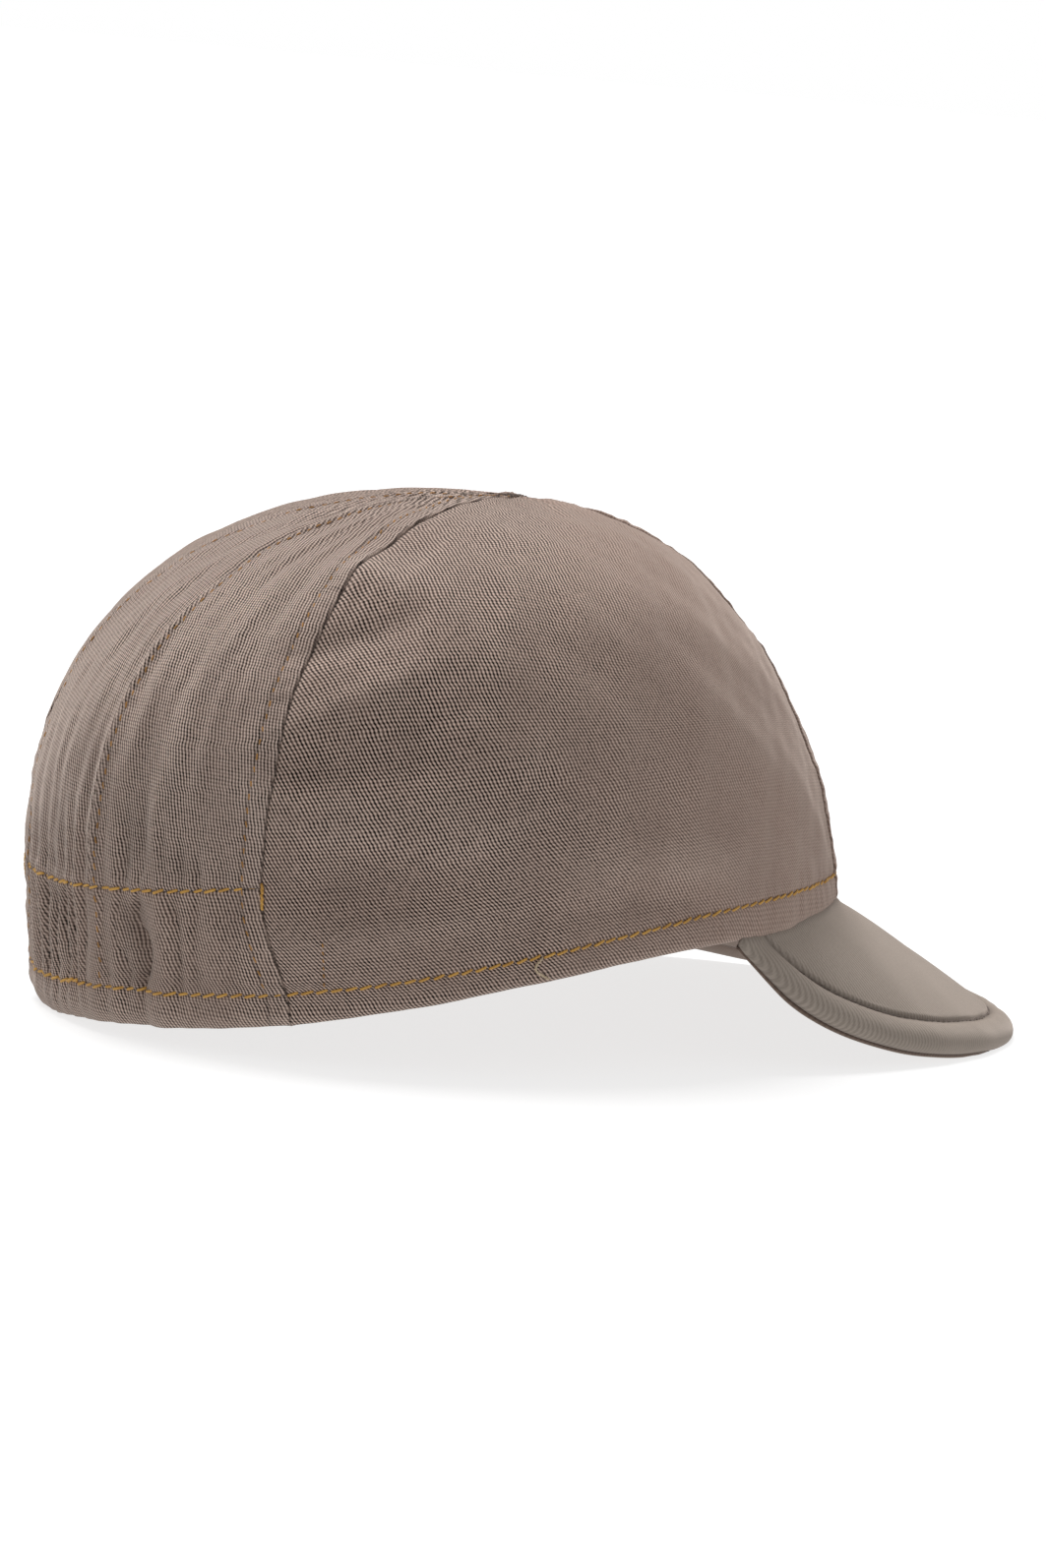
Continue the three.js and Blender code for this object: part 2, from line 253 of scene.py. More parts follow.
@dataclass
class CrownForm:
    """The crown's outer face, with its folds and gathers."""

    rest: CapFrame
    half_length: float = 98 * MM
    half_width: float = 77 * MM
    front_dip: float = 2.5 * MM
    middle_dip: float = 0.8 * MM
    hem_drop: float = 2.0 * MM
    hem_drop_at: float = 70
    hem_drop_width: float = 17
    side_arch: float = 9.5 * MM
    sag: Sag = Sag(208, 20, 5.5 * MM)
    back_pull: float = 1.4 * MM
    back_pull_rise: float = 0.4
    apex_height: float = 94.5 * MM
    apex_ahead: float = 29 * MM
    crown_slope: float = 0.2
    swell_rise: float = 0.62
    apex_gap: float = 0.35 * MM
    front: Section = Section(1.18, 1.33, 1.8 * MM)
    side: Section = Section(0.61, 0.73, -0.8 * MM)
    back: Section = Section(0.75, 0.5, -0.2 * MM)
    hem_height: float = 5.8 * MM
    band_height: float = 30.5 * MM
    casing_from: float = 149.3
    casing_fade: float = 0.8
    level_length: float = 140 * MM
    deeper: float = 0.5
    crisp: float = 0.6
    pinch: float = 1.05
    pinch_width: float = 0.35
    pinch_above_band: float = 0.3
    usual_gather: float = 1.6 * MM
    fold_gain: float = 1.6
    azimuths: int = 481
    climbs: int = 241
    rows: int = 281

    def __post_init__(self) -> None:
        """Tabulates how far to climb for each row at each azimuth."""
        turn = np.linspace(0, 2 * math.pi, self.azimuths)
        climb = math.pi / 2 * (1 - (1 - np.linspace(0, 1, self.climbs)) ** 3)
        points = self.dome(turn[:, None], climb[None, :])
        steps = np.linalg.norm(np.diff(points, axis=1), axis=-1)
        lengths = np.concatenate([np.zeros((len(turn), 1)), np.cumsum(steps, axis=1)], axis=1)
        self.whole = lengths[:, -1]
        row = np.linspace(0, 1, self.rows)
        whole = self.whole[:, None]
        wanted = np.minimum(self._length_up(whole, row[None, :]), whole - self.apex_gap)
        self.climb_table = np.stack([np.interp(w, l, climb) for w, l in zip(wanted, lengths)])

    def rim(self, azimuth: Array) -> Array:
        """Points of the rim's outer edge at azimuths in radians."""
        ahead = np.clip(np.cos(azimuth), 0, None)
        turned = np.mod(np.degrees(azimuth), 360) - self.sag.azimuth
        low = self.sag.depth * bump(turned, 0, self.sag.width) + self.front_dip * ahead**2
        low = low + self.middle_dip * ahead**6
        x = -self.half_width * np.sin(azimuth)
        y = -self.half_length * np.cos(azimuth)
        z = self.side_arch * np.sin(azimuth) ** 2 - low
        return np.stack([x, y, z], axis=-1)

    def dome(self, azimuth: Array, climb: Array) -> Array:
        """Points of the smooth outer face.

        Args:
            azimuth: radians from the middle of the front towards the wearer's right.
            climb: from 0 at the rim to a quarter turn at the apex.

        Returns:
            Places in the cap's frame.
        """
        azimuth, climb = np.broadcast_arrays(np.asarray(azimuth, float), np.asarray(climb, float))
        front = np.clip(np.cos(azimuth), 0, None) ** 2
        back = np.clip(-np.cos(azimuth), 0, None) ** 2
        shares = ((front, self.front), (1 - front - back, self.side), (back, self.back))
        reach = np.clip(np.cos(climb), 0, None) ** sum(share * s.roundness for share, s in shares)
        rise = np.clip(np.sin(climb), 0, None) ** sum(share * s.steepness for share, s in shares)
        swell = sum(share * s.swell for share, s in shares)
        rim = self.rim(azimuth)
        x = rim[..., 0]
        y = rim[..., 1] + self.apex_ahead
        belly = swell * np.sin(math.pi * np.clip(rise / self.swell_rise, 0, 1)) ** 2
        out = reach * (1 + belly / np.hypot(x, y))
        z = rim[..., 2] * (1 - rise) + self.apex_height * rise + self.crown_slope * y * out * (1 - reach)
        place = np.stack([x * out, y * out - self.apex_ahead, z], axis=-1)
        pull = self.back_pull * back**2 * np.clip(1 - rise / self.back_pull_rise, 0, None) ** 2
        shrink = 1 - pull / np.maximum(np.hypot(place[..., 0], place[..., 1]), MM)
        place[..., :2] *= shrink[..., None]
        self.lift_off_table(place)
        return place

    def lift_off_table(self, place: Array) -> None:
        """Raises places that would lie below the table, where they stand in the cap's frame."""
        pitch = self.rest.pitch
        table = (place[..., 1] * math.sin(pitch) - self.rest.origin.z) / math.cos(pitch)
        place[..., 2] = np.maximum(place[..., 2], table)

    def _length_up(self, whole: Array, row: Array) -> Array:
        """Length of cloth from the rim to a row, where a section is whole metres long."""
        level = self.band_height / self.level_length
        return row * self.level_length + (whole - self.level_length) * smoothstep(level, 1, row)

    def length_up(self, azimuth: Array, row: Array) -> Array:
        """Length of cloth from the rim to a row at an azimuth."""
        turn = np.linspace(0, 2 * math.pi, self.azimuths)
        return self._length_up(np.interp(np.mod(azimuth, 2 * math.pi), turn, self.whole), row)

    def smooth_point(self, azimuth: Array, row: Array) -> Array:
        """Point of the smooth outer face at an azimuth and row."""
        azimuth, row = np.broadcast_arrays(np.asarray(azimuth, float), np.asarray(row, float))
        across = np.mod(azimuth, 2 * math.pi) / (2 * math.pi) * (self.azimuths - 1)
        up = np.clip(row, 0, 1) * (self.rows - 1)
        i = np.minimum(across.astype(int), self.azimuths - 2)
        j = np.minimum(up.astype(int), self.rows - 2)
        a, b = across - i, up - j
        table = self.climb_table
        low = table[i, j] * (1 - a) + table[i + 1, j] * a
        high = table[i, j + 1] * (1 - a) + table[i + 1, j + 1] * a
        return self.dome(azimuth, low * (1 - b) + high * b)

    def outward(self, azimuth: Array, row: Array) -> Array:
        """Outward direction of the smooth face."""
        turn = math.radians(1.5)
        step = 0.012
        high = np.minimum(row + step, 0.985)
        low = np.minimum(np.maximum(row - step, 0), high - step)
        across = self.smooth_point(azimuth + turn, row) - self.smooth_point(azimuth - turn, row)
        up = self.smooth_point(azimuth, high) - self.smooth_point(azimuth, low)
        normal = np.cross(up, across)
        return normal / np.linalg.norm(normal, axis=-1, keepdims=True)

    def metres_per_radian(self, azimuth: Array, row: Array) -> Array:
        """Width of cloth that a radian of azimuth spans at a row."""
        turn = math.radians(1)
        gap = self.smooth_point(azimuth + turn, row) - self.smooth_point(azimuth - turn, row)
        return np.maximum(np.linalg.norm(gap, axis=-1) / (2 * turn), 0.5 * MM)

    @property
    def radius(self) -> float:
        """Mean radius of the rim."""
        return (self.half_length + self.half_width) / 2

    def fold_height(self, azimuth: Array, up: Array, folds: tuple[Fold, ...], narrow: float = 1) -> Array:
        """Height of a table of folds at places on the crown, each narrowed to a share of its width."""
        degrees = np.mod(np.degrees(azimuth), 360)
        total = np.zeros(np.broadcast(azimuth, up).shape)
        for fold in folds:
            across = np.radians(fold.azimuth - degrees) * self.radius
            above = up - fold.up * MM
            turn = math.radians(fold.turn)
            along = (across * math.cos(turn) + above * math.sin(turn)) / (fold.half_length * MM)
            aside = (above * math.cos(turn) - across * math.sin(turn)) / (fold.half_width * MM * narrow)
            total += fold.height * MM * np.exp(-(along**2) - aside**2)
        return total

    def gather_depth(self, azimuth: Array, up: Array) -> Array:
        """Depth of the gathers: pinched at the band's two lines of stitches and fading above it."""
        degrees = 180 - np.mod(np.degrees(azimuth), 360)
        held_at_band = 0.55 * bump(up, self.band_height, 2.5 * MM)
        held_at_hem = 0.3 * bump(up, self.hem_height, 2 * MM)
        held_at_rim = 0.6 * bump(up, 0, 6 * MM)
        free = (1 - held_at_band - held_at_hem) * (1 - held_at_rim)
        total = np.zeros(np.broadcast(azimuth, up).shape)
        for gather in GATHERS:
            hold = np.where(up > self.band_height, bump(up, self.band_height, gather.fade * MM), 1)
            total += gather.depth * MM * hold * bump(degrees, gather.at, gather.width)
        return total * free

    def fine_relief(self, azimuth: Array, up: Array) -> Array:
        """Relief that only the visible cloth has: creases, drag lines over the gathers and a soft swell."""
        across = azimuth * self.radius
        relief = self.fold_height(azimuth, up, FINE_FOLDS) * self.fold_gain
        relief += self.fold_height(azimuth, up, BROAD_FOLDS, self.crisp) * self.deeper
        broad_swell = 0.3 * MM * ripple(across / (31 * MM), up / (27 * MM), 0.3)
        small_swell = 0.12 * MM * ripple(across / (11 * MM), up / (14 * MM), 1.9)
        behind = bump(np.mod(np.degrees(azimuth), 360), 180, 30)
        lines = ripple(across / (7.4 * MM), up / (70 * MM), 2.7)
        drag_lines = 0.3 * MM * behind * lines * smoothstep(0, 12 * MM, up)
        return relief + broad_swell + small_swell + drag_lines - self.pinch_depth(azimuth, up)

    def pinch_depth(self, azimuth: Array, up: Array) -> Array:
        """Sharp creases at the bottom of the gathers, which wander a little on their way up."""
        degrees = 180 - np.mod(np.degrees(azimuth), 360)
        wander = 1.4 * ripple(degrees / 19, up / (26 * MM), 4.4)
        degrees = degrees + wander
        total = np.zeros(np.broadcast(azimuth, up).shape)
        for gather in GATHERS:
            fade = bump(up, self.band_height, gather.fade * MM * 0.5) * self.pinch_above_band
            above = np.where(up > self.band_height, fade, 1)
            deep = (gather.depth * MM) ** 2 / self.usual_gather
            total += deep * above * np.exp(-np.abs(degrees - gather.at) / (gather.width * self.pinch_width))
        held_at_band = 0.75 * bump(up, self.band_height, 2 * MM)
        held_at_rim = 0.85 * bump(up, 0, 7 * MM)
        return total * (1 - held_at_band - held_at_rim) * self.pinch

    def relief(self, azimuth: Array, up: Array) -> Array:
        """Height of the whole relief above the smooth face."""
        return (
            self.fold_height(azimuth, up, BROAD_FOLDS)
            - self.gather_depth(azimuth, up)
            + self.fine_relief(azimuth, up)
        )

    def dropped(self, azimuth: Array) -> Array:
        """How far the hem hangs lower over the peak's corners."""
        ahead = np.abs(np.mod(np.degrees(azimuth) + 180, 360) - 180)
        return self.hem_drop * bump(ahead, self.hem_drop_at, self.hem_drop_width)

    def sewing_relief(self, azimuth: Array, up: Array) -> Array:
        """Grooves along the hem's stitches and the band's, with the small puckers that the thread draws."""
        along = azimuth * self.radius
        front = bump(np.mod(np.degrees(azimuth) + 180, 360) - 180, 0, 62)
        hem_line = 0.34 * MM * bump(up, self.hem_height, 0.9 * MM)
        puckers = ripple(along / (4.4 * MM), up / (30 * MM), 0.9) * bump(up, 4.5 * MM, 5.5 * MM)
        pucker_height = (0.10 + 0.16 * front) * MM
        round_back = 180 - np.abs(180 - np.mod(np.degrees(azimuth), 360))
        casing = smoothstep(self.casing_from - self.casing_fade, self.casing_from, round_back)
        band_line = 0.4 * MM * bump(up, self.band_height, 1.0 * MM)
        draws = ripple(along / (4.6 * MM), up / (34 * MM), 3.3) * bump(up, self.band_height, 7 * MM)
        return pucker_height * puckers - hem_line + casing * (0.2 * MM * draws - band_line)

    def surface(self, azimuth: Array, up: Array, row: Array, lift: Array) -> Array:
        """Points of the visible cloth.

        Args:
            azimuth: azimuths in radians.
            up: lengths of cloth up from the rim.
            row: the rows at those lengths.
            lift: height above the relief, below zero for what lies deeper.

        Returns:
            Places in the row's frame.
        """
        height = self.relief(azimuth, up) + self.sewing_relief(azimuth, up) + lift
        place = self.smooth_point(azimuth, row) + self.outward(azimuth, row) * height[..., None]
        place[..., 2] -= self.dropped(azimuth) * (1 - smoothstep(0.5 * MM, 5.4 * MM, up))
        self.lift_off_table(place)
        return self.rest.stand(place)


class Turning(Enum):
    """What the cloth does past a seam: turns back under its own panel, or passes on under its neighbour."""

    UNDER_ITSELF = ((0.12, 0.5), (0.0, 1.2), (-0.4, 1.9), (-1.8, 2.5), (-3.2, 2.8))
    UNDER_NEIGHBOUR = ((0.1, 0.5), (0.22, 1.15), (0.7, 1.8), (2.6, 1.85), (4.9, 1.85))


@dataclass(frozen=True)
class Edge:
    """How a panel is sewn along one side.

    The cloth dips into the seam. Where the allowances lie under the panel it stands proud up to a line of
    stitches in a groove of its own.
    """

    turning: Turning
    dip: float = 0.75 * MM
    ridge: float = 0.0
    width: float = 5.0 * MM
    stitched_at: float = 0.0
    groove: float = 0.0
    rounding: float = 0.3 * MM
    pucker: float = 0.08 * MM

    def relief(self, inwards: Array, along: Array) -> Array:
        """Height of the sewn edge.

        Args:
            inwards: distance from the seam.
            along: length up the seam, which the puckers follow.

        Returns:
            Height above the panel's own face.
        """
        height = -self.dip * bump(inwards, 0, self.rounding)
        rise = smoothstep(-0.2 * MM, 0.3 * MM, inwards)
        fall = smoothstep(self.width - 0.5 * MM, self.width + 0.9 * MM, inwards)
        puckers = ripple(along / (4.2 * MM), inwards / (20 * MM), 5.2)
        height += self.ridge * (rise - fall) * (1 + 0.2 * puckers)
        if self.groove:
            height -= self.groove * bump(inwards, self.stitched_at, 0.55 * MM)
        return height + self.pucker * puckers * bump(inwards, 1.5 * MM, 4.5 * MM)


@dataclass(frozen=True)
class Side:
    """One side of a panel: the seam that it follows, on which half of the crown, and how it is sewn."""

    seam: Seam
    half: int
    edge: Edge
    turns: int = 0

    def azimuth(self, row: Array) -> Array:
        """Azimuth of the side at a row, in radians: its seam is drawn in a little at each stitch."""
        along = row * 0.16
        drawn = 0.11 * MM * ripple(along / (3.3 * MM), along / (41 * MM), 1.1 + self.seam.start)
        span = np.maximum(85 * MM * (1 - 0.97 * row**1.6), 4 * MM)
        return self.seam.azimuth(row, self.half) + drawn / span + 2 * math.pi * self.turns


class Modelling:
    """The few hand moves that every piece of cloth is made with."""

    @staticmethod
    def deselect() -> None:
        """Clears the selection, which the loaded frame leaves full."""
        bpy.ops.object.select_all(action="DESELECT")

    @staticmethod
    def sheet(name: str, points: Array, spread: Array, attributes: dict[str, Array]) -> bpy.types.Object:
        """Adds a flat grid and lays it on rows of points.

        Args:
            name: name of the piece.
            points: places of the grid's corners, rows first.
            spread: each corner's place on the flat cloth, in metres.
            attributes: numbers kept at each corner, by name.

        Returns:
            The new sheet, one layer thick.
        """
        rows, columns = points.shape[:2]
        Modelling.deselect()
        bpy.ops.mesh.primitive_grid_add(x_subdivisions=columns - 1, y_subdivisions=rows - 1, size=2)
        piece = bpy.context.object
        piece.name = name
        mesh = piece.data
        mesh.name = name
        flat = np.zeros(len(mesh.vertices) * 3)
        mesh.vertices.foreach_get("co", flat)
        flat = flat.reshape(-1, 3)
        across = np.rint((flat[:, 0] + 1) / 2 * (columns - 1)).astype(int)
        up = np.rint((flat[:, 1] + 1) / 2 * (rows - 1)).astype(int)
        mesh.vertices.foreach_set("co", points[up, across].ravel())
        corners = np.zeros(len(mesh.loops), dtype=int)
        mesh.loops.foreach_get("vertex_index", corners)
        flat_map = mesh.uv_layers.active or mesh.uv_layers.new(name="cloth")
        flat_map.name = "cloth"
        flat_map.data.foreach_set("uv", spread[up, across][corners].ravel())
        for label, values in attributes.items():
            layer = mesh.attributes.new(name=label, type="FLOAT", domain="POINT")
            layer.data.foreach_set("value", values[up, across].ravel().astype(np.float32))
        mesh.update()
        return piece

    @staticmethod
    def thicken(piece: bpy.types.Object, thickness: float) -> None:
        """Gives a sheet its thickness, inwards from its outer face, and smooths it.

        Args:
            piece: the sheet, which faces outwards.
            thickness: how thick the cloth is.
        """
        Modelling.deselect()
        piece.select_set(True)
        bpy.context.view_layer.objects.active = piece
        wall = piece.modifiers.new("thickness", "SOLIDIFY")
        wall.thickness = thickness
        wall.offset = -1
        bpy.ops.object.modifier_apply(modifier=wall.name)
        bpy.ops.object.shade_smooth()

    @staticmethod
    def rest_on_floor(piece: bpy.types.Object) -> None:
        """Flattens a piece where it rests on the floor."""
        for corner in piece.data.vertices:
            corner.co.z = max(corner.co.z, 0)

    @staticmethod
    def face_out(piece: bpy.types.Object, inside: Vector) -> None:
        """Turns a sheet's faces away from a place inside the cap."""
        mesh = piece.data
        score = sum((face.center - inside).dot(face.normal) * face.area for face in mesh.polygons)
        if score < 0:
            mesh.flip_normals()


@dataclass
class Panel:
    """A gore of the crown, or the casing behind, between two seams."""

    name: str
    node: str
    low: Side
    high: Side
    columns: int
    slot: str = "crown_cloth"
    base: float = 0.0
    top: float = 1.0
    rows: int = 116
    fold_radius: float = 0.9 * MM
    inner_height: float = 7.4 * MM
    cloth: float = 0.85 * MM
    grain_at: float = 0.5
    weave_from: float = 66
    weave_over: float = 50
    casing_reach: float = 31.895
    stitch_width: float = 0.42 * MM
    hem_steps: tuple[float, ...] = (7.4, 6.9, 6.5, 6.15, 5.8, 5.45, 5.1, 4.7, 4.2, 3.5, 2.8, 2.1, 1.5)
    near: tuple[float, ...] = (
        *(0, 0.12, 0.25, 0.4, 0.6, 0.85, 1.15, 1.5, 2.0, 2.6),
        *(3.2, 3.6, 3.95, 4.3, 4.65, 5.0, 5.5, 6.2, 7.1),
    )

    def profile(self, form: CrownForm) -> tuple[Array, Array]:
        """Rows of the panel, from its top down and round its lower edge.

        Args:
            form: the crown's form.

        Returns:
            The row and the depth at each line of the grid.
        """
        level = form.band_height / form.level_length
        upper = np.linspace(self.top, level, self.rows) if self.top > level else np.array([self.top])
        if self.base > 0:
            ups = form.band_height - np.array([0.12, 0.3, 0.35]) * MM
            lower = [(up, depth) for up, depth in zip(ups, (0.35 * MM, 0.85 * MM, 1.3 * MM))]
        else:
            radius = self.fold_radius
            above_band = () if self.top > level else (30.2, 29.9)
            steps = (*above_band, 29.6, 28.8, *np.arange(27.8, 7.9, -1.0), *self.hem_steps)
            lower = [(step * MM, 0.0) for step in steps if step * MM > radius + 0.3 * MM]
            for angle in np.linspace(0, math.pi, 8):
                lower.append((radius * (1 - math.sin(angle)), radius * (1 - math.cos(angle))))
            for up in np.arange(radius + 1.2 * MM, self.inner_height, 1.2 * MM):
                lower.append((up, 2 * radius))
        ups = np.array([up for up, _ in lower])
        row = np.concatenate([upper, ups / form.level_length])
        depth = np.concatenate([np.zeros(len(upper)), [deep for _, deep in lower]])
        return row, depth

    def spacing(self, width: Array) -> tuple[Array, Array]:
        """Spaces the grid's lines across the panel, closely beside its seams.

        Args:
            width: the panel's width at each row.

        Returns:
            Distances from the lower side, and the share of the full seam width that there is room for.
        """
        near = np.array(self.near) * MM
        fit = np.minimum(1, width / (near[-1] * 2.5))[:, None]
        between = np.linspace(0, 1, self.columns - 2 * len(near) + 2)[1:-1]
        first = near * fit
        last = width[:, None] - near[::-1] * fit
        centre = first[:, -1:] + (last[:, :1] - first[:, -1:]) * between
        return np.concatenate([first, centre, last], axis=1), fit

    def marks(
        self, form: CrownForm, azimuth: Array, ups: Array, deep: Array, to_seams: tuple[Array, Array]
    ) -> tuple[Array, Array]:
        """Where the cloth is painted darker as shade, and where it is painted lighter for rubbing and as
        highlight.

        Args:
            form: the crown's form.
            azimuth: azimuths of the grid's corners, in radians.
            ups: lengths up from the rim.
            deep: depths under the outer face.
            to_seams: distances from the lower and from the higher seam.

        Returns:
            How much painted shade each corner has, and how far it is painted lighter for rubbing and as
            highlight.
        """
        crease, wear = np.zeros_like(ups), np.zeros_like(ups)
        for side, distance in zip((self.low, self.high), to_seams):
            # Painted shade in the seam's dip and in the groove of its stitches. Beside the seam, a ridge is
            # painted lighter where it is rubbed.
            seam = 0.9 * bump(distance, 0, 0.22 * MM)
            seam_stitches = 0.55 * bump(distance, side.edge.stitched_at, self.stitch_width)
            crease += seam + (seam_stitches if side.edge.groove else 0)
            wear += 0.5 * bump(distance, 0.8 * MM, 0.5 * MM)
        casing = np.abs(np.mod(np.degrees(azimuth), 360) - 180) < self.casing_reach
        # Painted shade in the grooves of the hem's and the band's stitches.
        hem_stitches = bump(ups, form.hem_height, self.stitch_width)
        band_stitches = bump(ups, form.band_height, self.stitch_width) * casing
        crease += 0.75 * (hem_stitches + band_stitches)
        relief = form.fine_relief(azimuth, ups) + form.fold_height(azimuth, ups, BROAD_FOLDS) * 0.3
        relief -= form.gather_depth(azimuth, ups) * 0.6
        # Painted shade in the valleys of the folds and gathers. Their ridges are painted lighter, partly as
        # rubbing and partly as highlight. The hem's folded edge is painted lighter as rubbing.
        valleys = 0.42 * smoothstep(0.15 * MM, 1.8 * MM, -relief)
        ridges = 0.7 * smoothstep(-0.1 * MM, 1.1 * MM, relief)
        hem_edge = 0.5 * bump(ups, 0.4 * MM, 0.7 * MM) * (deep < 1.0 * MM)
        return crease + valleys, wear + ridges + hem_edge

    def weave(self, azimuth: Array) -> Array:
        """How strongly the weave shows: faintly on the front gore, and fully from the ears backwards."""
        degrees = np.mod(np.degrees(azimuth), 360)
        behind = (np.minimum(degrees, 360 - degrees) - self.weave_from) / self.weave_over
        return FAINT_WEAVE + (1 - FAINT_WEAVE) * np.clip(behind, 0, 1) ** 1.1

    def build(self, form: CrownForm) -> bpy.types.Object:
        """Makes the panel.

        Args:
            form: the crown's form.

        Returns:
            The panel, hemmed, with its allowances turned in.
        """
        row, depth = self.profile(form)
        low, span = self.low.azimuth(row), self.high.azimuth(row) - self.low.azimuth(row)
        turns = low[:, None] + span[:, None] * np.linspace(0, 1, 9)
        steps = form.smooth_point(turns, np.broadcast_to(row[:, None], turns.shape))
        width = np.linalg.norm(np.diff(steps, axis=1), axis=-1).sum(axis=1)
        across, fit = self.spacing(width)
        azimuth = low[:, None] + span[:, None] * across / width[:, None]
        rows = np.broadcast_to(row[:, None], azimuth.shape)
        deep = np.broadcast_to(depth[:, None], azimuth.shape)
        ups = form.length_up(azimuth, rows)
        to_low, to_high = across / fit, (width[:, None] - across) / fit
        lift = self.low.edge.relief(to_low, ups) + self.high.edge.relief(to_high, ups)
        lift = lift * fit * (smoothstep(0, 2 * MM, ups) * 0.6 + 0.4)
        points = form.surface(azimuth, ups, rows, lift - deep)
        crease, wear = self.marks(form, azimuth, ups, deep, (to_low, to_high))
        spread = self.flatten(across, width, span, row, ups, deep)
        points, spread, crease, wear = self.allow(form, row, points, spread, crease, wear, fit)
        turned = tuple(len(side.edge.turning.value) for side in (self.low, self.high))
        # Painted shade, and painted lightening for rubbing and highlight, go to the material from here.
        attributes = {
            "crease": np.clip(crease, 0, 1),
            "wear": np.clip(wear, 0, 1),
            "weave": self.weave(np.pad(azimuth, ((0, 0), turned), mode="edge")),
        }
        piece = Modelling.sheet(self.name, points, spread, attributes)
        inside = Vector(form.rest.stand(np.array([0.0, 0.0, 40 * MM])))
        Modelling.face_out(piece, inside)
        Modelling.thicken(piece, self.cloth)
        return piece

    def flatten(
        self, across: Array, width: Array, span: Array, row: Array, ups: Array, deep: Array
    ) -> Array:
        """Lays the panel out flat, as it was cut: level lines bend near the apex, so the grain is straight.

        Args:
            across: distances from the lower side of the panel.
            width: the panel's width at each row.
            span: the angle that it spans at each row.
            row: the rows.
            ups: lengths up from the rim.
            deep: depths under the outer face.

        Returns:
            Each corner's place on the flat cloth.
        """
        middle = ups[:, ups.shape[1] // 2]
        rows = np.linspace(0, 1, 141)
        order = np.argsort(row)
        reach = np.interp(rows, row[order], (width / span)[order])
        height = np.interp(rows, row[order], middle[order])
        slope = np.gradient(reach) / np.maximum(np.gradient(height), 0.1 * MM)
        bend = np.clip(-slope / np.maximum(reach, 2 * MM), 0, None) * smoothstep(0.2, 0.5, rows)
        bend = np.interp(row, rows, bend)[:, None]
        bend = np.minimum(bend, 1.6 / np.maximum(width, 1 * MM)[:, None]) + 1e-6
        aside = across - width[:, None] * self.grain_at
        level = np.sin(bend * aside) / bend
        lifted = (1 - np.cos(bend * aside)) / bend
        return np.stack([level, middle[:, None] + lifted - 2 * deep], axis=-1)

    def allow(
        self,
        form: CrownForm,
        row: Array,
        points: Array,
        spread: Array,
        crease: Array,
        wear: Array,
        fit: Array,
    ) -> tuple[Array, ...]:
        """Adds the seam allowances at both sides of the grid.

        Args:
            form: the crown's form.
            row: the row of each line of the grid.
            points: places of the grid's corners.
            spread: their places on the flat cloth.
            crease: how much painted shade each has.
            wear: how far each is painted lighter, for rubbing and as highlight.
            fit: share of the full seam width at each row.

        Returns:
            The same four, five columns wider at each side.
        """
        sides = []
        for side, column in ((self.low, 0), (self.high, -1)):
            edge = side.edge
            seam = side.azimuth(row)
            outward = form.outward(seam, row)
            turn = math.radians(1)
            away = form.smooth_point(seam + turn, row) - form.smooth_point(seam - turn, row)
            away *= 1 if column == -1 else -1
            away /= np.maximum(np.linalg.norm(away, axis=-1, keepdims=True), 1e-9)
            away, inwards = form.rest.turn(away), form.rest.turn(-outward)
            offsets = [(beyond * MM, depth * MM) for beyond, depth in edge.turning.value]
            seamed = points[:, column]
            extra = [seamed + (away * beyond + inwards * depth) * fit for beyond, depth in offsets]
            flat = [spread[:, column] + np.array([beyond, 0]) for beyond, _ in offsets]
            sides.append((extra, flat))
        (low_extra, low_flat), (high_extra, high_flat) = sides
        points = np.concatenate([np.stack(low_extra[::-1], 1), points, np.stack(high_extra, 1)], axis=1)
        spread = np.concatenate([np.stack(low_flat[::-1], 1), spread, np.stack(high_flat, 1)], axis=1)
        wider = ((0, 0), (len(low_extra), len(high_extra)))
        # The turned-in allowances lie under the panel, so they are painted full shade.
        crease = np.pad(crease, wider, constant_values=1)
        wear = np.pad(wear, wider, constant_values=0)
        return points, spread, crease, wear


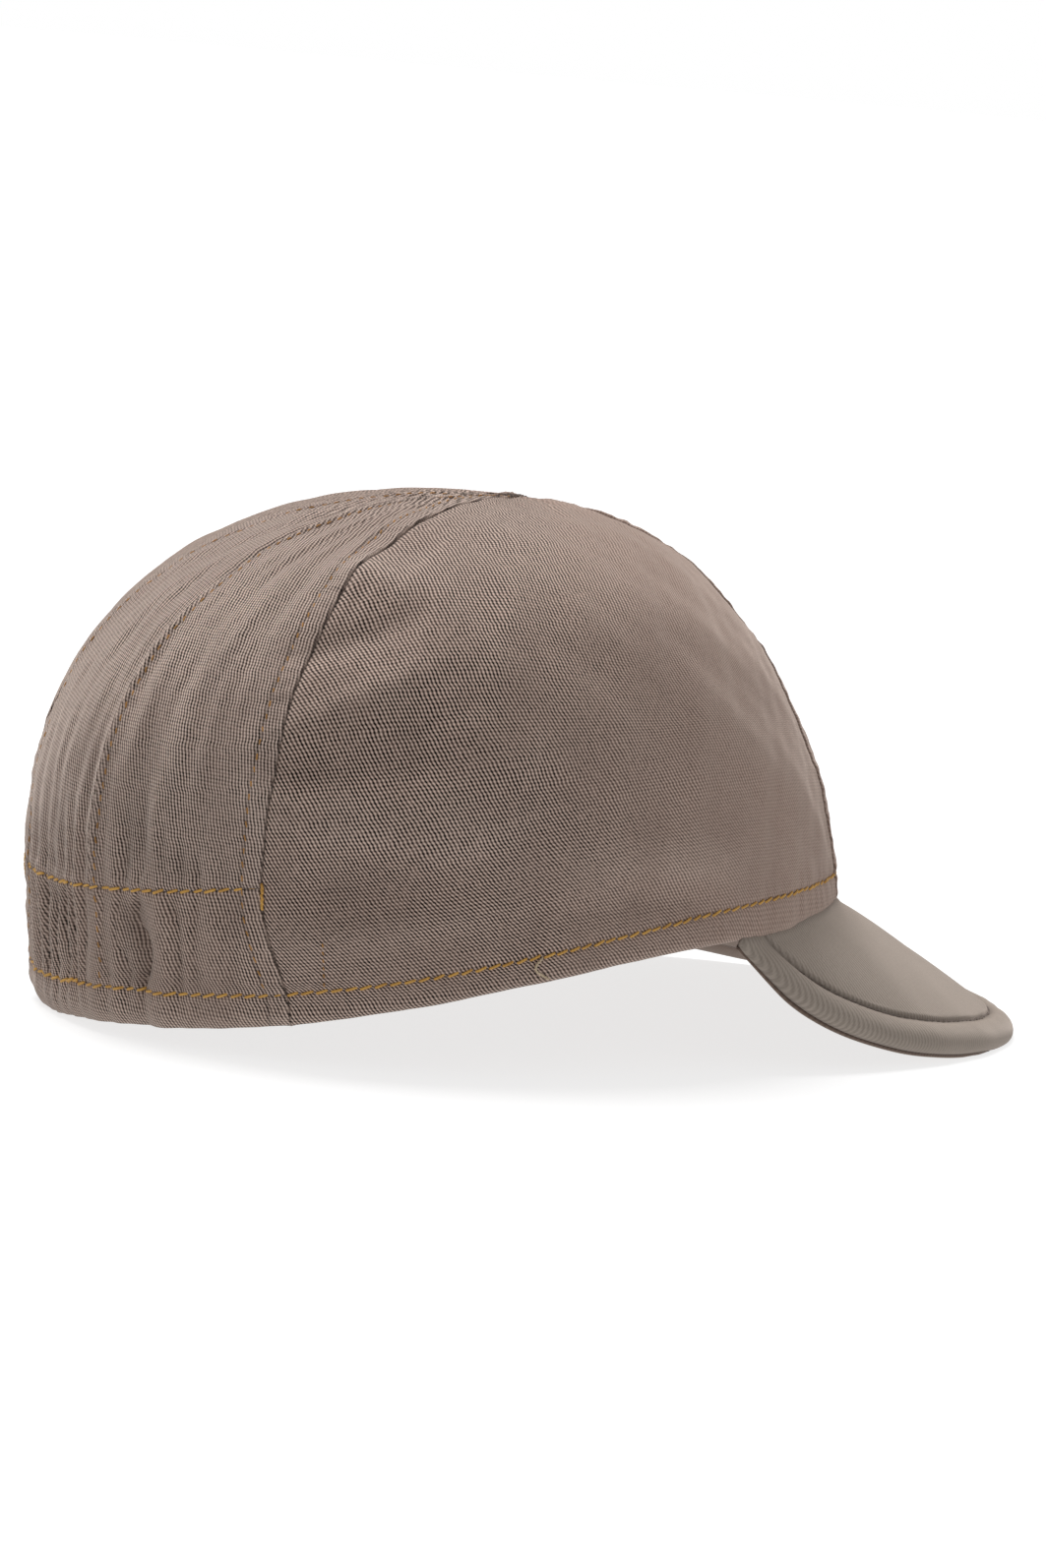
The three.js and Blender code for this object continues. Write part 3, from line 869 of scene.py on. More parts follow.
@dataclass
class Crown:
    """The front panel, a side panel over each ear, two back panels and the elastic's casing behind."""

    form: CrownForm
    open_edge: Edge = Edge(Turning.UNDER_NEIGHBOUR, dip=0.3 * MM, rounding=0.5 * MM)
    sewn_edge: Edge = Edge(
        Turning.UNDER_ITSELF,
        dip=0.4 * MM,
        ridge=0.35 * MM,
        rounding=0.2 * MM,
        stitched_at=4.3 * MM,
        groove=0.28 * MM,
    )
    middle_edge: Edge = Edge(
        Turning.UNDER_ITSELF,
        dip=0.35 * MM,
        ridge=0.28 * MM,
        rounding=0.2 * MM,
        width=3.2 * MM,
        stitched_at=1.6 * MM,
        groove=0.25 * MM,
    )
    below_stitches: float = 0.12 * MM

    def panels(self) -> list[Panel]:
        """The crown's six pieces of cloth."""
        band = self.form.band_height
        sewn, bare = self.sewn_edge, self.open_edge
        ahead, behind = FRONT_SEAM, BACK_SEAM
        right_back, left_back = Side(behind, 1, sewn), Side(behind, -1, sewn, 1)
        middle, bare_middle = Side(MIDDLE_SEAM, 1, self.middle_edge), Side(MIDDLE_SEAM, 1, bare)
        front = Panel("front_cloth", "front_panel", Side(ahead, -1, sewn), Side(ahead, 1, sewn), 150)
        sides = [
            Panel(f"side_cloth_{name}", f"side_panel_{name}", *edges, 190, grain_at=grain)
            for name, edges, grain in (
                ("right", (Side(ahead, 1, bare), Side(behind, 1, bare)), 0.74),
                ("left", (Side(behind, -1, bare), Side(ahead, -1, bare)), 0.26),
            )
        ]
        backs = [
            Panel(f"back_cloth_{name}", f"back_panel_{name}", *edges, 84, base=band, rows=170)
            for name, edges in (("right", (right_back, middle)), ("left", (bare_middle, left_back)))
        ]
        casing = Panel(
            "band_cloth",
            "back_band",
            right_back,
            left_back,
            150,
            slot="band_cloth",
            top=(band - self.below_stitches) / self.form.level_length,
            fold_radius=1.45 * MM,
            inner_height=30 * MM,
        )
        return [front, *sides, *backs, casing]


@dataclass(frozen=True)
class PeakLine:
    """A line across the peak's section, from its edge inwards, and its height above the sheet."""

    inset: float
    share: float
    above: float


@dataclass
class Peak:
    """The short stiffened peak: a top cloth over a padded roll at the edge, and an under cloth."""

    crown: CrownForm
    corner: float = math.radians(78.5)
    length: float = 65 * MM
    corner_length: float = 0.3 * MM
    thinning: float = 24 * MM
    root_lift: float = 0.95 * MM
    corner_round: float = math.radians(1.2)
    far_round: float = math.radians(22)
    tucked: float = 0.9 * MM
    fullness: float = 2.1
    roundness: float = 2.75
    slope_middle: float = math.radians(34.5)
    slope_right: float = math.radians(47.8)
    slope_left: float = math.radians(33)
    slope_curve: float = 1.38
    spread: float = 0.5
    roll: float = 9 * MM
    drop: float = 0.45 * MM
    drop_share: float = 0.8
    far_start: float = 0.15
    thin_start: float = 0.3
    seat: float = 0.2 * MM
    columns: int = 211
    cloth: float = 0.35 * MM
    groove_inset: float = 7.8 * MM
    corner_share: float = 0.9995
    tuck: float = 1.6 * MM
    swell_seed: float = 0.4

    def frame_at(self, azimuth: Array) -> tuple[Array, Array, Array]:
        """Where the sheet leaves the rim at an azimuth.

        Args:
            azimuth: azimuths in radians.

        Returns:
            The root on the rim, the direction in which it falls and its length.
        """
        share = np.minimum(np.abs(azimuth) / self.corner, 1)
        outline = (1 - share**self.fullness) ** (1 / self.roundness)
        to_corner = self.corner - np.abs(azimuth)
        outline = outline * np.sqrt(1 - (1 - np.clip(to_corner / self.corner_round, 0, 1)) ** 2)
        far = self.far_start + (1 - self.far_start) * smoothstep(0, self.far_round, to_corner)
        outline = np.where(azimuth < 0, outline * far, outline)
        slope_end = np.where(azimuth > 0, self.slope_right, self.slope_left)
        slope = self.slope_middle + (slope_end - self.slope_middle) * share**self.slope_curve
        heading = np.stack([-self.spread * np.sin(azimuth), -np.ones_like(azimuth)], axis=-1)
        heading /= np.linalg.norm(heading, axis=-1, keepdims=True)
        fall = np.concatenate([heading * np.cos(slope)[..., None], -np.sin(slope)[..., None]], axis=-1)
        root = self.crown.rim(azimuth)
        root[..., 2] -= self.drop + self.drop_share * self.crown.dropped(azimuth)
        root[..., :2] *= 1 - self.tucked / np.linalg.norm(root[..., :2], axis=-1, keepdims=True)
        return root, fall, self.corner_length + (self.length - self.corner_length) * outline

    def inwards(self, azimuth: Array) -> tuple[Array, Array]:
        """Goes in from the edge, square to it.

        Args:
            azimuth: azimuths in radians at which the edge is left.

        Returns:
            The change of azimuth and of distance from the rim, for each metre.
        """
        turn = math.radians(0.4)
        low = np.maximum(azimuth - turn, -self.corner)
        high = np.minimum(azimuth + turn, self.corner)
        ends = []
        for side in (low, high):
            root, fall, length = self.frame_at(side)
            ends.append((root, fall, root + fall * length[..., None]))
        _, fall, length = self.frame_at(azimuth)
        before, after = ends
        edge = after[2] - before[2]
        level = after[0] - before[0] + (after[1] - before[1]) * length[..., None]
        level /= (high - low)[..., None]
        lean = (level * fall).sum(axis=-1)
        aside = level - fall * lean[..., None]
        stretch = np.linalg.norm(aside, axis=-1)
        aside /= stretch[..., None]
        along = (edge * aside).sum(axis=-1)
        down = (edge * fall).sum(axis=-1)
        size = np.hypot(along, down)
        turned = down / size / stretch
        return turned, -along / size - turned * lean

    def path(self, azimuth: Array, inset: Array, share: Array) -> tuple[Array, Array]:
        """Azimuth and distance from the rim of a place on the sheet.

        Args:
            azimuth: azimuths in radians at which the edge is left.
            inset: distances in from the edge.
            share: share of the way from the roll to the rim.

        Returns:
            Both.
        """
        _, _, length = self.frame_at(azimuth)
        turned, nearer = self.inwards(azimuth)
        run = np.maximum(length + nearer * inset, 0)
        return azimuth + turned * inset, run * (1 - share)

    def place(self, azimuth: Array, inset: Array, share: Array, above: Array) -> Array:
        """Points of the peak.

        Args:
            azimuth: azimuths in radians at which the edge is left.
            inset: distances in from the edge.
            share: share of the way from the roll to the rim.
            above: heights above the sheet.

        Returns:
            Places in the cap's frame.
        """
        turn = math.radians(1)
        at, run = self.path(azimuth, inset, share)
        root, fall, _ = self.frame_at(at)
        before_root, before_fall, _ = self.frame_at(at - turn)
        after_root, after_fall, _ = self.frame_at(at + turn)
        before = before_root + before_fall * run[..., None]
        after = after_root + after_fall * run[..., None]
        normal = np.cross(after - before, fall)
        normal /= np.linalg.norm(normal, axis=-1, keepdims=True)
        _, _, edge = self.frame_at(azimuth)
        thin = self.thin_start + (1 - self.thin_start) * smoothstep(0, self.thinning, edge)
        rise = np.where(above > 0, above * smoothstep(0, self.roll, run), above) * thin + self.seat
        return root + fall * run[..., None] + normal * rise[..., None]

    def top_lines(self) -> list[PeakLine]:
        """Section of the top cloth, from the rim over the smooth middle, the groove and the roll."""
        smooth = [PeakLine(9, share, 0.3 * math.sin(math.pi * share)) for share in np.linspace(1, 0, 52)]
        groove = [(8.6, -0.12), (8.2, -0.42), (7.8, -0.66), (7.4, -0.42), (7.0, -0.02), (6.5, 0.36)]
        rolled = [(5.8, 0.66), (5.0, 0.82), (4.2, 0.88), (3.4, 0.84), (2.6, 0.68), (1.9, 0.42), (1.2, 0.02)]
        edge = [(0.65, -0.5), (0.28, -1.05), (0.08, -1.6), (0.05, -2.1), (0.2, -2.5), (0.55, -2.8)]
        turned = [(1.1, -2.95), (1.9, -2.98)]
        return smooth + [PeakLine(inset, 0, above) for inset, above in groove + rolled + edge + turned]

    def under_lines(self) -> list[PeakLine]:
        """Section of the under cloth, from its edge inwards to the rim."""
        edge = [(1.9, -3.0), (1.0, -3.02), (0.5, -3.12), (0.3, -3.35), (0.4, -3.62), (0.8, -3.86)]
        flat = [(1.5, -3.98), (2.6, -4.0), (4.0, -3.96), (5.6, -3.86), (6.8, -3.68)]
        groove = [(7.8, -3.42), (8.6, -3.6)]
        smooth = [PeakLine(9, share, -3.64) for share in np.linspace(0, 1, 40)]
        return [PeakLine(inset, 0, above) for inset, above in edge + flat + groove] + smooth

    def sheet(self, name: str, lines: list[PeakLine]) -> bpy.types.Object:
        """Makes one of the two cloths.

        Args:
            name: name of the piece.
            lines: its section.

        Returns:
            The cloth, with its thickness.
        """
        share = np.linspace(0, 1, self.columns)
        azimuth = self.corner * self.corner_share * np.sin(math.pi * (share - 0.5))
        grid = (len(lines), self.columns)
        turn = np.broadcast_to(azimuth, grid)
        section = np.array([(line.inset * MM, line.share, line.above * MM) for line in lines]).T
        inset, part, above = (np.broadcast_to(values[:, None], grid) for values in section)
        flat = self.place(turn, inset, part, above * 0)
        soft = 0.22 * MM * ripple(flat[..., 0] / (38 * MM), flat[..., 1] / (31 * MM), self.swell_seed)
        draw = ripple(flat[..., 0] / (6.5 * MM), flat[..., 1] / (16 * MM), self.swell_seed + 2)
        soft = soft + 0.1 * MM * draw * bump(inset, 6.5 * MM, 3.6 * MM) * (part == 0)
        points = self.place(turn, inset, part, above + soft * smoothstep(0, 0.12, 1 - part))
        on_top = part[0, 0] == 1
        first = 0 if on_top else -1
        at, run = self.path(turn, inset, part)
        if on_top:
            points[..., 2] += self.root_lift * (1 - smoothstep(0, 4 * MM, run))
        inwards = -self.crown.outward(at[first], np.zeros_like(azimuth))
        inwards[..., 2] = 0
        hidden = points[first] + inwards * self.tuck
        spread = np.stack([flat[..., 0], self.crown.rim(at)[..., 1] - run + above], axis=-1)
        points = np.concatenate([hidden[None], points] if on_top else [points, hidden[None]])
        pad = ((1, 0), (0, 0)) if on_top else ((0, 1), (0, 0))
        spread = np.pad(spread, (*pad, (0, 0)), mode="edge")
        crease, wear = self.marks(on_top, inset, above, part == 0, run)
        # The material paints shade, and lightening for rubbing and highlight, from these numbers.
        attributes = {
            "crease": np.clip(np.pad(crease, pad, mode="edge"), 0, 1),
            "wear": np.clip(np.pad(wear, pad, mode="edge"), 0, 1),
            "weave": np.full(points.shape[:2], FAINT_WEAVE),
        }
        points = self.crown.rest.stand(points)
        points[..., 2] = np.maximum(points[..., 2], 0.02 * MM)
        return Modelling.sheet(name, points, spread, attributes)

    def marks(
        self, on_top: bool, inset: Array, above: Array, sewn: Array, run: Array
    ) -> tuple[Array, Array]:
        """Where the peak's cloth is painted darker as shade, and where it is painted lighter for rubbing and
        as highlight.

        Args:
            on_top: whether it is the top cloth.
            inset: distances in from the edge.
            above: heights above the sheet.
            sewn: whether each place lies on the roll or in the groove.
            run: distances from the rim.

        Returns:
            How much painted shade each corner has, and how far it is painted lighter for rubbing and as
            highlight.
        """
        # Painted shade in the groove of the stitches, under the edge where the top cloth turns under, where
        # the under cloth meets it, and near the rim where the peak goes in under the hem.
        crease = 0.8 * bump(inset, self.groove_inset, 0.75 * MM) * sewn
        if on_top:
            crease = crease + smoothstep(1.7 * MM, 2.4 * MM, np.abs(above)) * (inset < 1.4 * MM)
        else:
            crease = crease + 1 - smoothstep(3.05 * MM, 3.4 * MM, np.abs(above))
        crease = np.maximum(crease, 0.7 * (1 - smoothstep(0, 2.5 * MM, run)))
        # Painted lighter on the crest of the roll, partly as rubbing and partly as highlight, and on the
        # rubbed edge.
        wear = 0.7 * bump(inset, 3.6 * MM, 2.0 * MM) * sewn + 0.5 * bump(inset, 0.6 * MM, 0.7 * MM)
        return crease, wear

    def build(self) -> tuple[bpy.types.Object, bpy.types.Object]:
        """Makes the top cloth and the under cloth."""
        middle = self.place(np.zeros(1), np.full(1, 30 * MM), np.zeros(1), np.full(1, -2.9 * MM))
        inside = Vector(self.crown.rest.stand(middle)[0])
        top = self.sheet("peak_top_cloth", self.top_lines())
        under = self.sheet("peak_under_cloth", self.under_lines())
        for piece in (top, under):
            Modelling.face_out(piece, inside)
            Modelling.thicken(piece, self.cloth)
            Modelling.rest_on_floor(piece)
        return top, under


class Thread(Enum):
    """Colour of a line of stitches."""

    OCHRE = "ochre"
    # Ochre painted darker, as shade for stitches set down in grooves.
    SUNK = "sunk"
    RAW = "raw"
    TONE = "tone"


@dataclass
class Topstitching:
    """Lines of long stitches, each a thread that dips into the cloth at both ends."""

    form: CrownForm
    length: float = 2.75 * MM
    pitch: float = 3.1 * MM
    radius: float = 0.3 * MM
    slant: float = math.radians(13)
    lift: float = 0.1 * MM
    seam_lift: float = 0.08 * MM
    knot: tuple[float, float] = (184.5, 188.5)
    tail_at: float = 110.5
    tail_length: float = 4.9 * MM
    mend_at: float = 140.2
    tack_at: float = 148.88
    seed: int = 5

    def __post_init__(self) -> None:
        """Shapes the stitch that all the lines repeat."""
        self.random = np.random.default_rng(self.seed)
        self.corners, self.faces = self.stitch()
        self.sewn: dict[str, tuple[bpy.types.Object, Thread]] = {}

    def stitch(self) -> tuple[Array, list[tuple[int, ...]]]:
        """Models one stitch along X, one long; each line bends its ends down as it lays it.

        Returns:
            Its corners and its faces.
        """
        Modelling.deselect()
        bpy.ops.mesh.primitive_uv_sphere_add(segments=6, ring_count=8, radius=1)
        pattern = bpy.context.object
        bpy.ops.object.mode_set(mode="EDIT")
        bpy.ops.mesh.select_all(action="SELECT")
        bpy.ops.transform.rotate(value=math.pi / 2, orient_axis="Y", center_override=(0, 0, 0))
        bpy.ops.object.mode_set(mode="OBJECT")
        corners = np.array([corner.co for corner in pattern.data.vertices])
        faces = [tuple(face.vertices) for face in pattern.data.polygons]
        bpy.data.objects.remove(pattern, do_unlink=True)
        along = corners[:, 0]
        round_share = np.sqrt(np.clip(1 - along**2, 0, 1))
        body = corners[:, 1:] / np.maximum(round_share, 0.2)[:, None]
        full = np.minimum(1, 2.2 * round_share)
        corners[:, 1:] = np.clip(body, -1, 1) * full[:, None]
        return corners, faces

    @staticmethod
    def read(values: Array, known: Array, at: Array) -> Array:
        """Reads places or directions, known at some lengths along a line, at others."""
        return np.stack([np.interp(at, known, values[:, k]) for k in range(3)], axis=-1)

    def run(
        self,
        name: str,
        places: Array,
        outward: Array,
        radius: float | None = None,
        length: float | None = None,
        pitch: float | None = None,
    ) -> bpy.types.Object:
        """Sews a line of stitches.

        Args:
            name: name of the piece.
            places: closely spaced places along the line, in the row's frame.
            outward: the cloth's outward directions there.
            radius: radius of the thread, if not the usual one.
            length: length of a stitch, if not the usual one.
            pitch: distance from one stitch to the next, if not the usual one.

        Returns:
            All the line's stitches as one piece.
        """
        radius = radius or self.radius
        length = length or self.length
        pitch = pitch or self.pitch
        steps = np.linalg.norm(np.diff(places, axis=0), axis=-1)
        along = np.concatenate([[0], np.cumsum(steps)])
        count = max(int(along[-1] / pitch), 1)
        middles = (np.arange(count) + 0.5) * (along[-1] / count)
        middles += self.random.normal(0, 0.07 * MM, count)
        centre = self.read(places, along, middles)
        ahead = self.read(places, along, middles + length / 2)
        ahead -= self.read(places, along, middles - length / 2)
        ahead /= np.linalg.norm(ahead, axis=-1, keepdims=True)
        normal = self.read(outward, along, middles)
        normal -= ahead * (normal * ahead).sum(axis=-1, keepdims=True)
        normal /= np.linalg.norm(normal, axis=-1, keepdims=True)
        aside = np.cross(normal, ahead)
        slant = self.slant + self.random.normal(0, math.radians(3), count)
        forward = ahead * np.cos(slant)[:, None] + aside * np.sin(slant)[:, None]
        sideways = aside * np.cos(slant)[:, None] - ahead * np.sin(slant)[:, None]
        half = length / 2 * (1 + self.random.normal(0, 0.05, count))
        x, y, z = self.corners[:, 0], self.corners[:, 1], self.corners[:, 2]
        bend = (0.35 - 1.15 * x**4) * radius
        corners = (
            centre[:, None]
            + forward[:, None] * (x[None, :] * half[:, None])[..., None]
            + sideways[:, None] * (y * radius)[None, :, None]
            + normal[:, None] * (z * radius * 0.85 + bend)[None, :, None]
        )
        size = len(self.corners)
        faces = [tuple(corner + size * k for corner in face) for k in range(count) for face in self.faces]
        mesh = bpy.data.meshes.new(name)
        mesh.from_pydata(corners.reshape(-1, 3).tolist(), [], faces)
        turns = mesh.uv_layers.new(name="cloth")
        order = np.zeros(len(mesh.loops), dtype=int)
        mesh.loops.foreach_get("vertex_index", order)
        flat = np.stack([np.tile(x, count) * length / 2, np.tile(y, count) * radius], axis=-1)
        flat[:, 0] += np.repeat(middles, size)
        turns.data.foreach_set("uv", flat[order].ravel())
        piece = bpy.data.objects.new(name, mesh)
        bpy.context.collection.objects.link(piece)
        Modelling.deselect()
        piece.select_set(True)
        bpy.context.view_layer.objects.active = piece
        bpy.ops.object.shade_smooth()
        return piece

    def on_crown(self, azimuth: Array, up: Array, lift: float = 0.0) -> tuple[Array, Array]:
        """Places and outward directions along a line on the crown.

        Args:
            azimuth: azimuths in radians.
            up: lengths up from the rim.
            lift: height above the cloth's relief.

        Returns:
            Both, in the row's frame.
        """
        row = self.row_at(azimuth, up)
        places = self.form.surface(azimuth, up, row, np.full_like(azimuth, lift))
        outward = self.form.outward(azimuth, row)
        return places, self.form.rest.turn(outward)

    def row_at(self, azimuth: Array, up: Array) -> Array:
        """Rows at lengths up from the rim."""
        rows = np.linspace(0, 1, 401)
        ladders = (self.form.length_up(np.full_like(rows, at), rows) for at in azimuth)
        return np.array([np.interp(length, ladder, rows) for length, ladder in zip(up, ladders)])

    def beside(self, side: Side, panel: int, low: float, high: float, lift: float) -> tuple[Array, Array]:
        """A line beside a seam, at the distance of its edge's stitches.

        Args:
            side: the seam's side of the panel.
            panel: 1 where the panel lies at higher azimuths than the seam, -1 where at lower ones.
            low: row at which the line starts.
            high: row at which it ends.
            lift: height above the cloth's relief.

        Returns:
            Places and outward directions, in the row's frame.
        """
        rows = np.linspace(low, high, 420)
        seam = side.azimuth(rows)
        span = self.form.metres_per_radian(seam, rows)
        narrow = np.minimum(1, span * 0.5 / (side.edge.stitched_at * 2.5))
        azimuth = seam + panel * side.edge.stitched_at * narrow / span
        ups = self.form.length_up(azimuth, rows)
        places = self.form.surface(azimuth, ups, rows, np.full_like(azimuth, lift))
        outward = self.form.outward(azimuth, rows)
        return places, self.form.rest.turn(outward)

    def lay(self, name: str, line: tuple[Array, Array], thread: Thread, **sizes: float) -> None:
        """Sews a line and keeps it, with its thread."""
        self.sewn[name] = (self.run(name, *line, **sizes), thread)

    def sew_level(self) -> None:
        """Sews the hem, the casing's upper edge and the back stitches at the end of the hem's line."""
        hem, band, edge = self.form.hem_height, self.form.band_height, self.form.casing_from
        lines = (
            ("hem_stitches", (0, 360), 1800, hem, self.lift, {}),
            ("band_stitches", (edge, 360 - edge), 400, band, self.lift, {}),
            ("hem_back_stitches", self.knot, 60, hem + 0.5 * MM, 0.35 * MM, {"pitch": 1.6 * MM}),
        )
        for name, ends, count, up, lift, sizes in lines:
            azimuth = np.radians(np.linspace(*ends, count))
            self.lay(name, self.on_crown(azimuth, np.full(count, up), lift), Thread.OCHRE, **sizes)

    def sew_loose(self) -> None:
        """Adds a thread end that hangs from the hem, and the small stitches of a mend up the side."""
        turn = np.linspace(0, 1, 40)
        azimuth = np.radians(self.tail_at + 1.3 * np.sin(math.pi * turn) - 0.5 * turn)
        tail = self.on_crown(azimuth, self.form.hem_height - 0.3 * MM - turn * self.tail_length, 0.45 * MM)
        self.lay("loose_thread_end", tail, Thread.RAW, radius=0.2 * MM, length=1.3 * MM, pitch=0.55 * MM)
        ups = np.linspace(6.8 * MM, 18 * MM, 60)
        mend = self.on_crown(np.full_like(ups, math.radians(self.mend_at)), ups, 0.05 * MM)
        self.lay("mending_stitches", mend, Thread.SUNK, radius=0.17 * MM, length=0.9 * MM, pitch=1.7 * MM)

    def sew_seams(self, crown: Crown) -> None:
        """Sews the lines beside the seams.

        Args:
            crown: the crown, whose edges say where the lines run.
        """
        sewn, middle = crown.sewn_edge, Side(MIDDLE_SEAM, 1, crown.middle_edge)
        level = self.form.band_height / self.form.level_length
        lines = {
            "back_seam_stitches_right": (Side(BACK_SEAM, 1, sewn), 1, 0.05, 0.975, self.seam_lift),
            "back_seam_stitches_left": (Side(BACK_SEAM, -1, sewn, 1), -1, 0.05, 0.975, self.seam_lift),
            "front_seam_stitches_right": (Side(FRONT_SEAM, 1, sewn), -1, 0.05, 0.97, 0.0),
            "front_seam_stitches_left": (Side(FRONT_SEAM, -1, sewn), 1, 0.05, 0.97, 0.0),
            "middle_seam_stitches": (middle, -1, level, 0.975, self.seam_lift),
            "band_seam_stitches": (middle, -1, 0.05, level - 0.006, -0.05 * MM),
        }
        for name, line in lines.items():
            sizes = {"radius": 0.19 * MM, "length": 1.5 * MM, "pitch": 2.9 * MM}
            # These stitches take the ochre painted darker, as shade in the seams' grooves.
            self.lay(name, self.beside(*line), Thread.SUNK, **sizes)

    def sew_tacks(self) -> None:
        """Sews a bar of close stitches at each end of the casing's upper edge."""
        band = self.form.band_height
        ups = np.linspace(band + 0.6 * MM, band - 4.6 * MM, 40)
        for name, at in (("bar_tack_right", self.tack_at), ("bar_tack_left", 360 - self.tack_at)):
            bar = self.on_crown(np.full_like(ups, math.radians(at)), ups, 0.25 * MM)
            self.lay(name, bar, Thread.OCHRE, pitch=0.95 * MM, length=1.5 * MM)

    def sew_peak(self, peak: Peak) -> None:
        """Sews the line in the peak's groove.

        Args:
            peak: the peak.
        """
        across = peak.corner * np.sin(np.linspace(-1.4, 1.4, 900))
        _, run = peak.path(across, np.full_like(across, peak.groove_inset), np.zeros_like(across))
        across = across[run > 2 * MM]
        inset, flat = np.full_like(across, peak.groove_inset), np.zeros_like(across)
        line = self.form.rest.stand(peak.place(across, inset, flat, flat - 0.5 * MM))
        below = self.form.rest.stand(peak.place(across, inset, flat, flat - 1.5 * MM))
        sizes = {"radius": 0.2 * MM, "length": 2.3 * MM, "pitch": 2.7 * MM}
        self.lay("peak_stitches", (line, line - below), Thread.TONE, **sizes)

    def sew(self, crown: Crown, peak: Peak) -> dict[str, tuple[bpy.types.Object, Thread]]:
        """Sews all the lines.

        Args:
            crown: the crown, whose edges say where the lines run.
            peak: the peak.

        Returns:
            The stitched pieces by name, with their thread.
        """
        self.sew_level()
        self.sew_loose()
        self.sew_seams(crown)
        self.sew_tacks()
        self.sew_peak(peak)
        return self.sewn


@dataclass
class Value:
    """A number or a colour that varies over a surface: a socket, with the sums that are done on it."""

    bench: "Finish"
    socket: bpy.types.NodeSocket

    def _sum(self, operation: str, other: "Value | float", swap: bool = False) -> "Value":
        """Adds a Math node for this number and another.

        Args:
            operation: what the node does.
            other: the other number.
            swap: whether the other number comes first.

        Returns:
            The node's answer.
        """
        first, second = (other, self) if swap else (self, other)
        return self.bench.add("ShaderNodeMath", {"operation": operation}, {0: first, 1: second})

    def __add__(self, other: "Value | float") -> "Value":
        """This number plus another."""
        return self._sum("ADD", other)

    __radd__ = __add__

    def __sub__(self, other: "Value | float") -> "Value":
        """This number less another."""
        return self._sum("SUBTRACT", other)

    def __rsub__(self, other: float) -> "Value":
        """Another number less this one."""
        return self._sum("SUBTRACT", other, swap=True)

    def __mul__(self, other: "Value | float") -> "Value":
        """This number times another."""
        return self._sum("MULTIPLY", other)

    __rmul__ = __mul__

    def cosine(self) -> "Value":
        """The cosine of this number, in radians."""
        return self._sum("COSINE", 0.0)

    def at_most(self, other: float) -> "Value":
        """This number, or another where that is smaller."""
        return self._sum("MINIMUM", other)

    def between(self, low: float, high: float) -> "Value":
        """How far this number has risen from low to high, from 0 to 1."""
        settings = {"interpolation_type": "SMOOTHSTEP"}
        return self.bench.add("ShaderNodeMapRange", settings, {0: self, 1: low, 2: high, 3: 0.0, 4: 1.0})


class Finish:
    """A material under construction, with the nodes that make it."""

    def __init__(self, name: str) -> None:
        """Starts a material.

        Args:
            name: name of the material.
        """
        self.material = bpy.data.materials.new(name)
        self.material.use_nodes = True
        self.tree = self.material.node_tree
        self.tree.nodes.clear()

    def add(
        self,
        kind: str,
        settings: dict[str, object] | None = None,
        sockets: dict[int | str, object] | None = None,
        output: int | str = 0,
    ) -> Value:
        """Adds a node.

        Args:
            kind: the node's type.
            settings: its settings, which are set first.
            sockets: numbers, colours or values for its inputs.
            output: which output is wanted.

        Returns:
            That output.
        """
        node = self.tree.nodes.new(kind)
        for key, value in (settings or {}).items():
            setattr(node, key, value)
        for key, value in (sockets or {}).items():
            if isinstance(value, Value):
                self.tree.links.new(value.socket, node.inputs[key])
            else:
                node.inputs[key].default_value = value
        return Value(self, node.outputs[output])

    def place(self) -> Value:
        """The place on the piece, in metres."""
        return self.add("ShaderNodeTexCoord", output="Object")

    def flat(self) -> tuple[Value, Value]:
        """The place on the flat cloth: across it and along it, in millimetres."""
        spread = self.add("ShaderNodeUVMap", {"uv_map": "cloth"})
        across = self.add("ShaderNodeSeparateXYZ", None, {0: spread}, 0)
        along = self.add("ShaderNodeSeparateXYZ", None, {0: spread}, 1)
        return across * 1000, along * 1000

    def kept(self, name: str) -> Value:
        """A number that the piece keeps at each of its corners."""
        return self.add("ShaderNodeAttribute", {"attribute_name": name}, output="Fac")

    def noise(self, place: Value, scale: float, detail: float = 2.0, roughness: float = 0.5) -> Value:
        """Soft noise of about 0.5.

        Args:
            place: where it is read.
            scale: how many patches to a metre.
            detail: how many finer layers it has.
            roughness: how strong they are.

        Returns:
            The noise, from 0 to 1.
        """
        return self.add("ShaderNodeTexNoise", None, {0: place, 2: scale, 3: detail, 4: roughness})

    def mix(self, share: "Value | float", first: object, second: object, blend: str = "MIX") -> Value:
        """Mixes two colours.

        Args:
            share: share of the second colour.
            first: the first colour.
            second: the second colour.
            blend: how they are mixed.

        Returns:
            The mixed colour.
        """
        settings = {"data_type": "RGBA", "blend_type": blend, "clamp_factor": True}
        return self.add("ShaderNodeMix", settings, {0: share, 6: first, 7: second}, 2)

    def dress(
        self, colour: Value, roughness: Value, normal: Value, constants: dict[str, object] | None = None
    ) -> bpy.types.Material:
        """Ends the material in a shader.

        Args:
            colour: its base colour.
            roughness: its roughness.
            normal: its bumped normal.
            constants: what is the same all over, by socket.

        Returns:
            The material.
        """
        sockets: dict[int | str, object] = {"Base Color": colour, "Roughness": roughness, "Normal": normal}
        sockets.update(constants or {})
        shader = self.add("ShaderNodeBsdfPrincipled", None, sockets)
        end = self.tree.nodes.new("ShaderNodeOutputMaterial")
        self.tree.links.new(shader.socket, end.inputs[0])
        return self.material


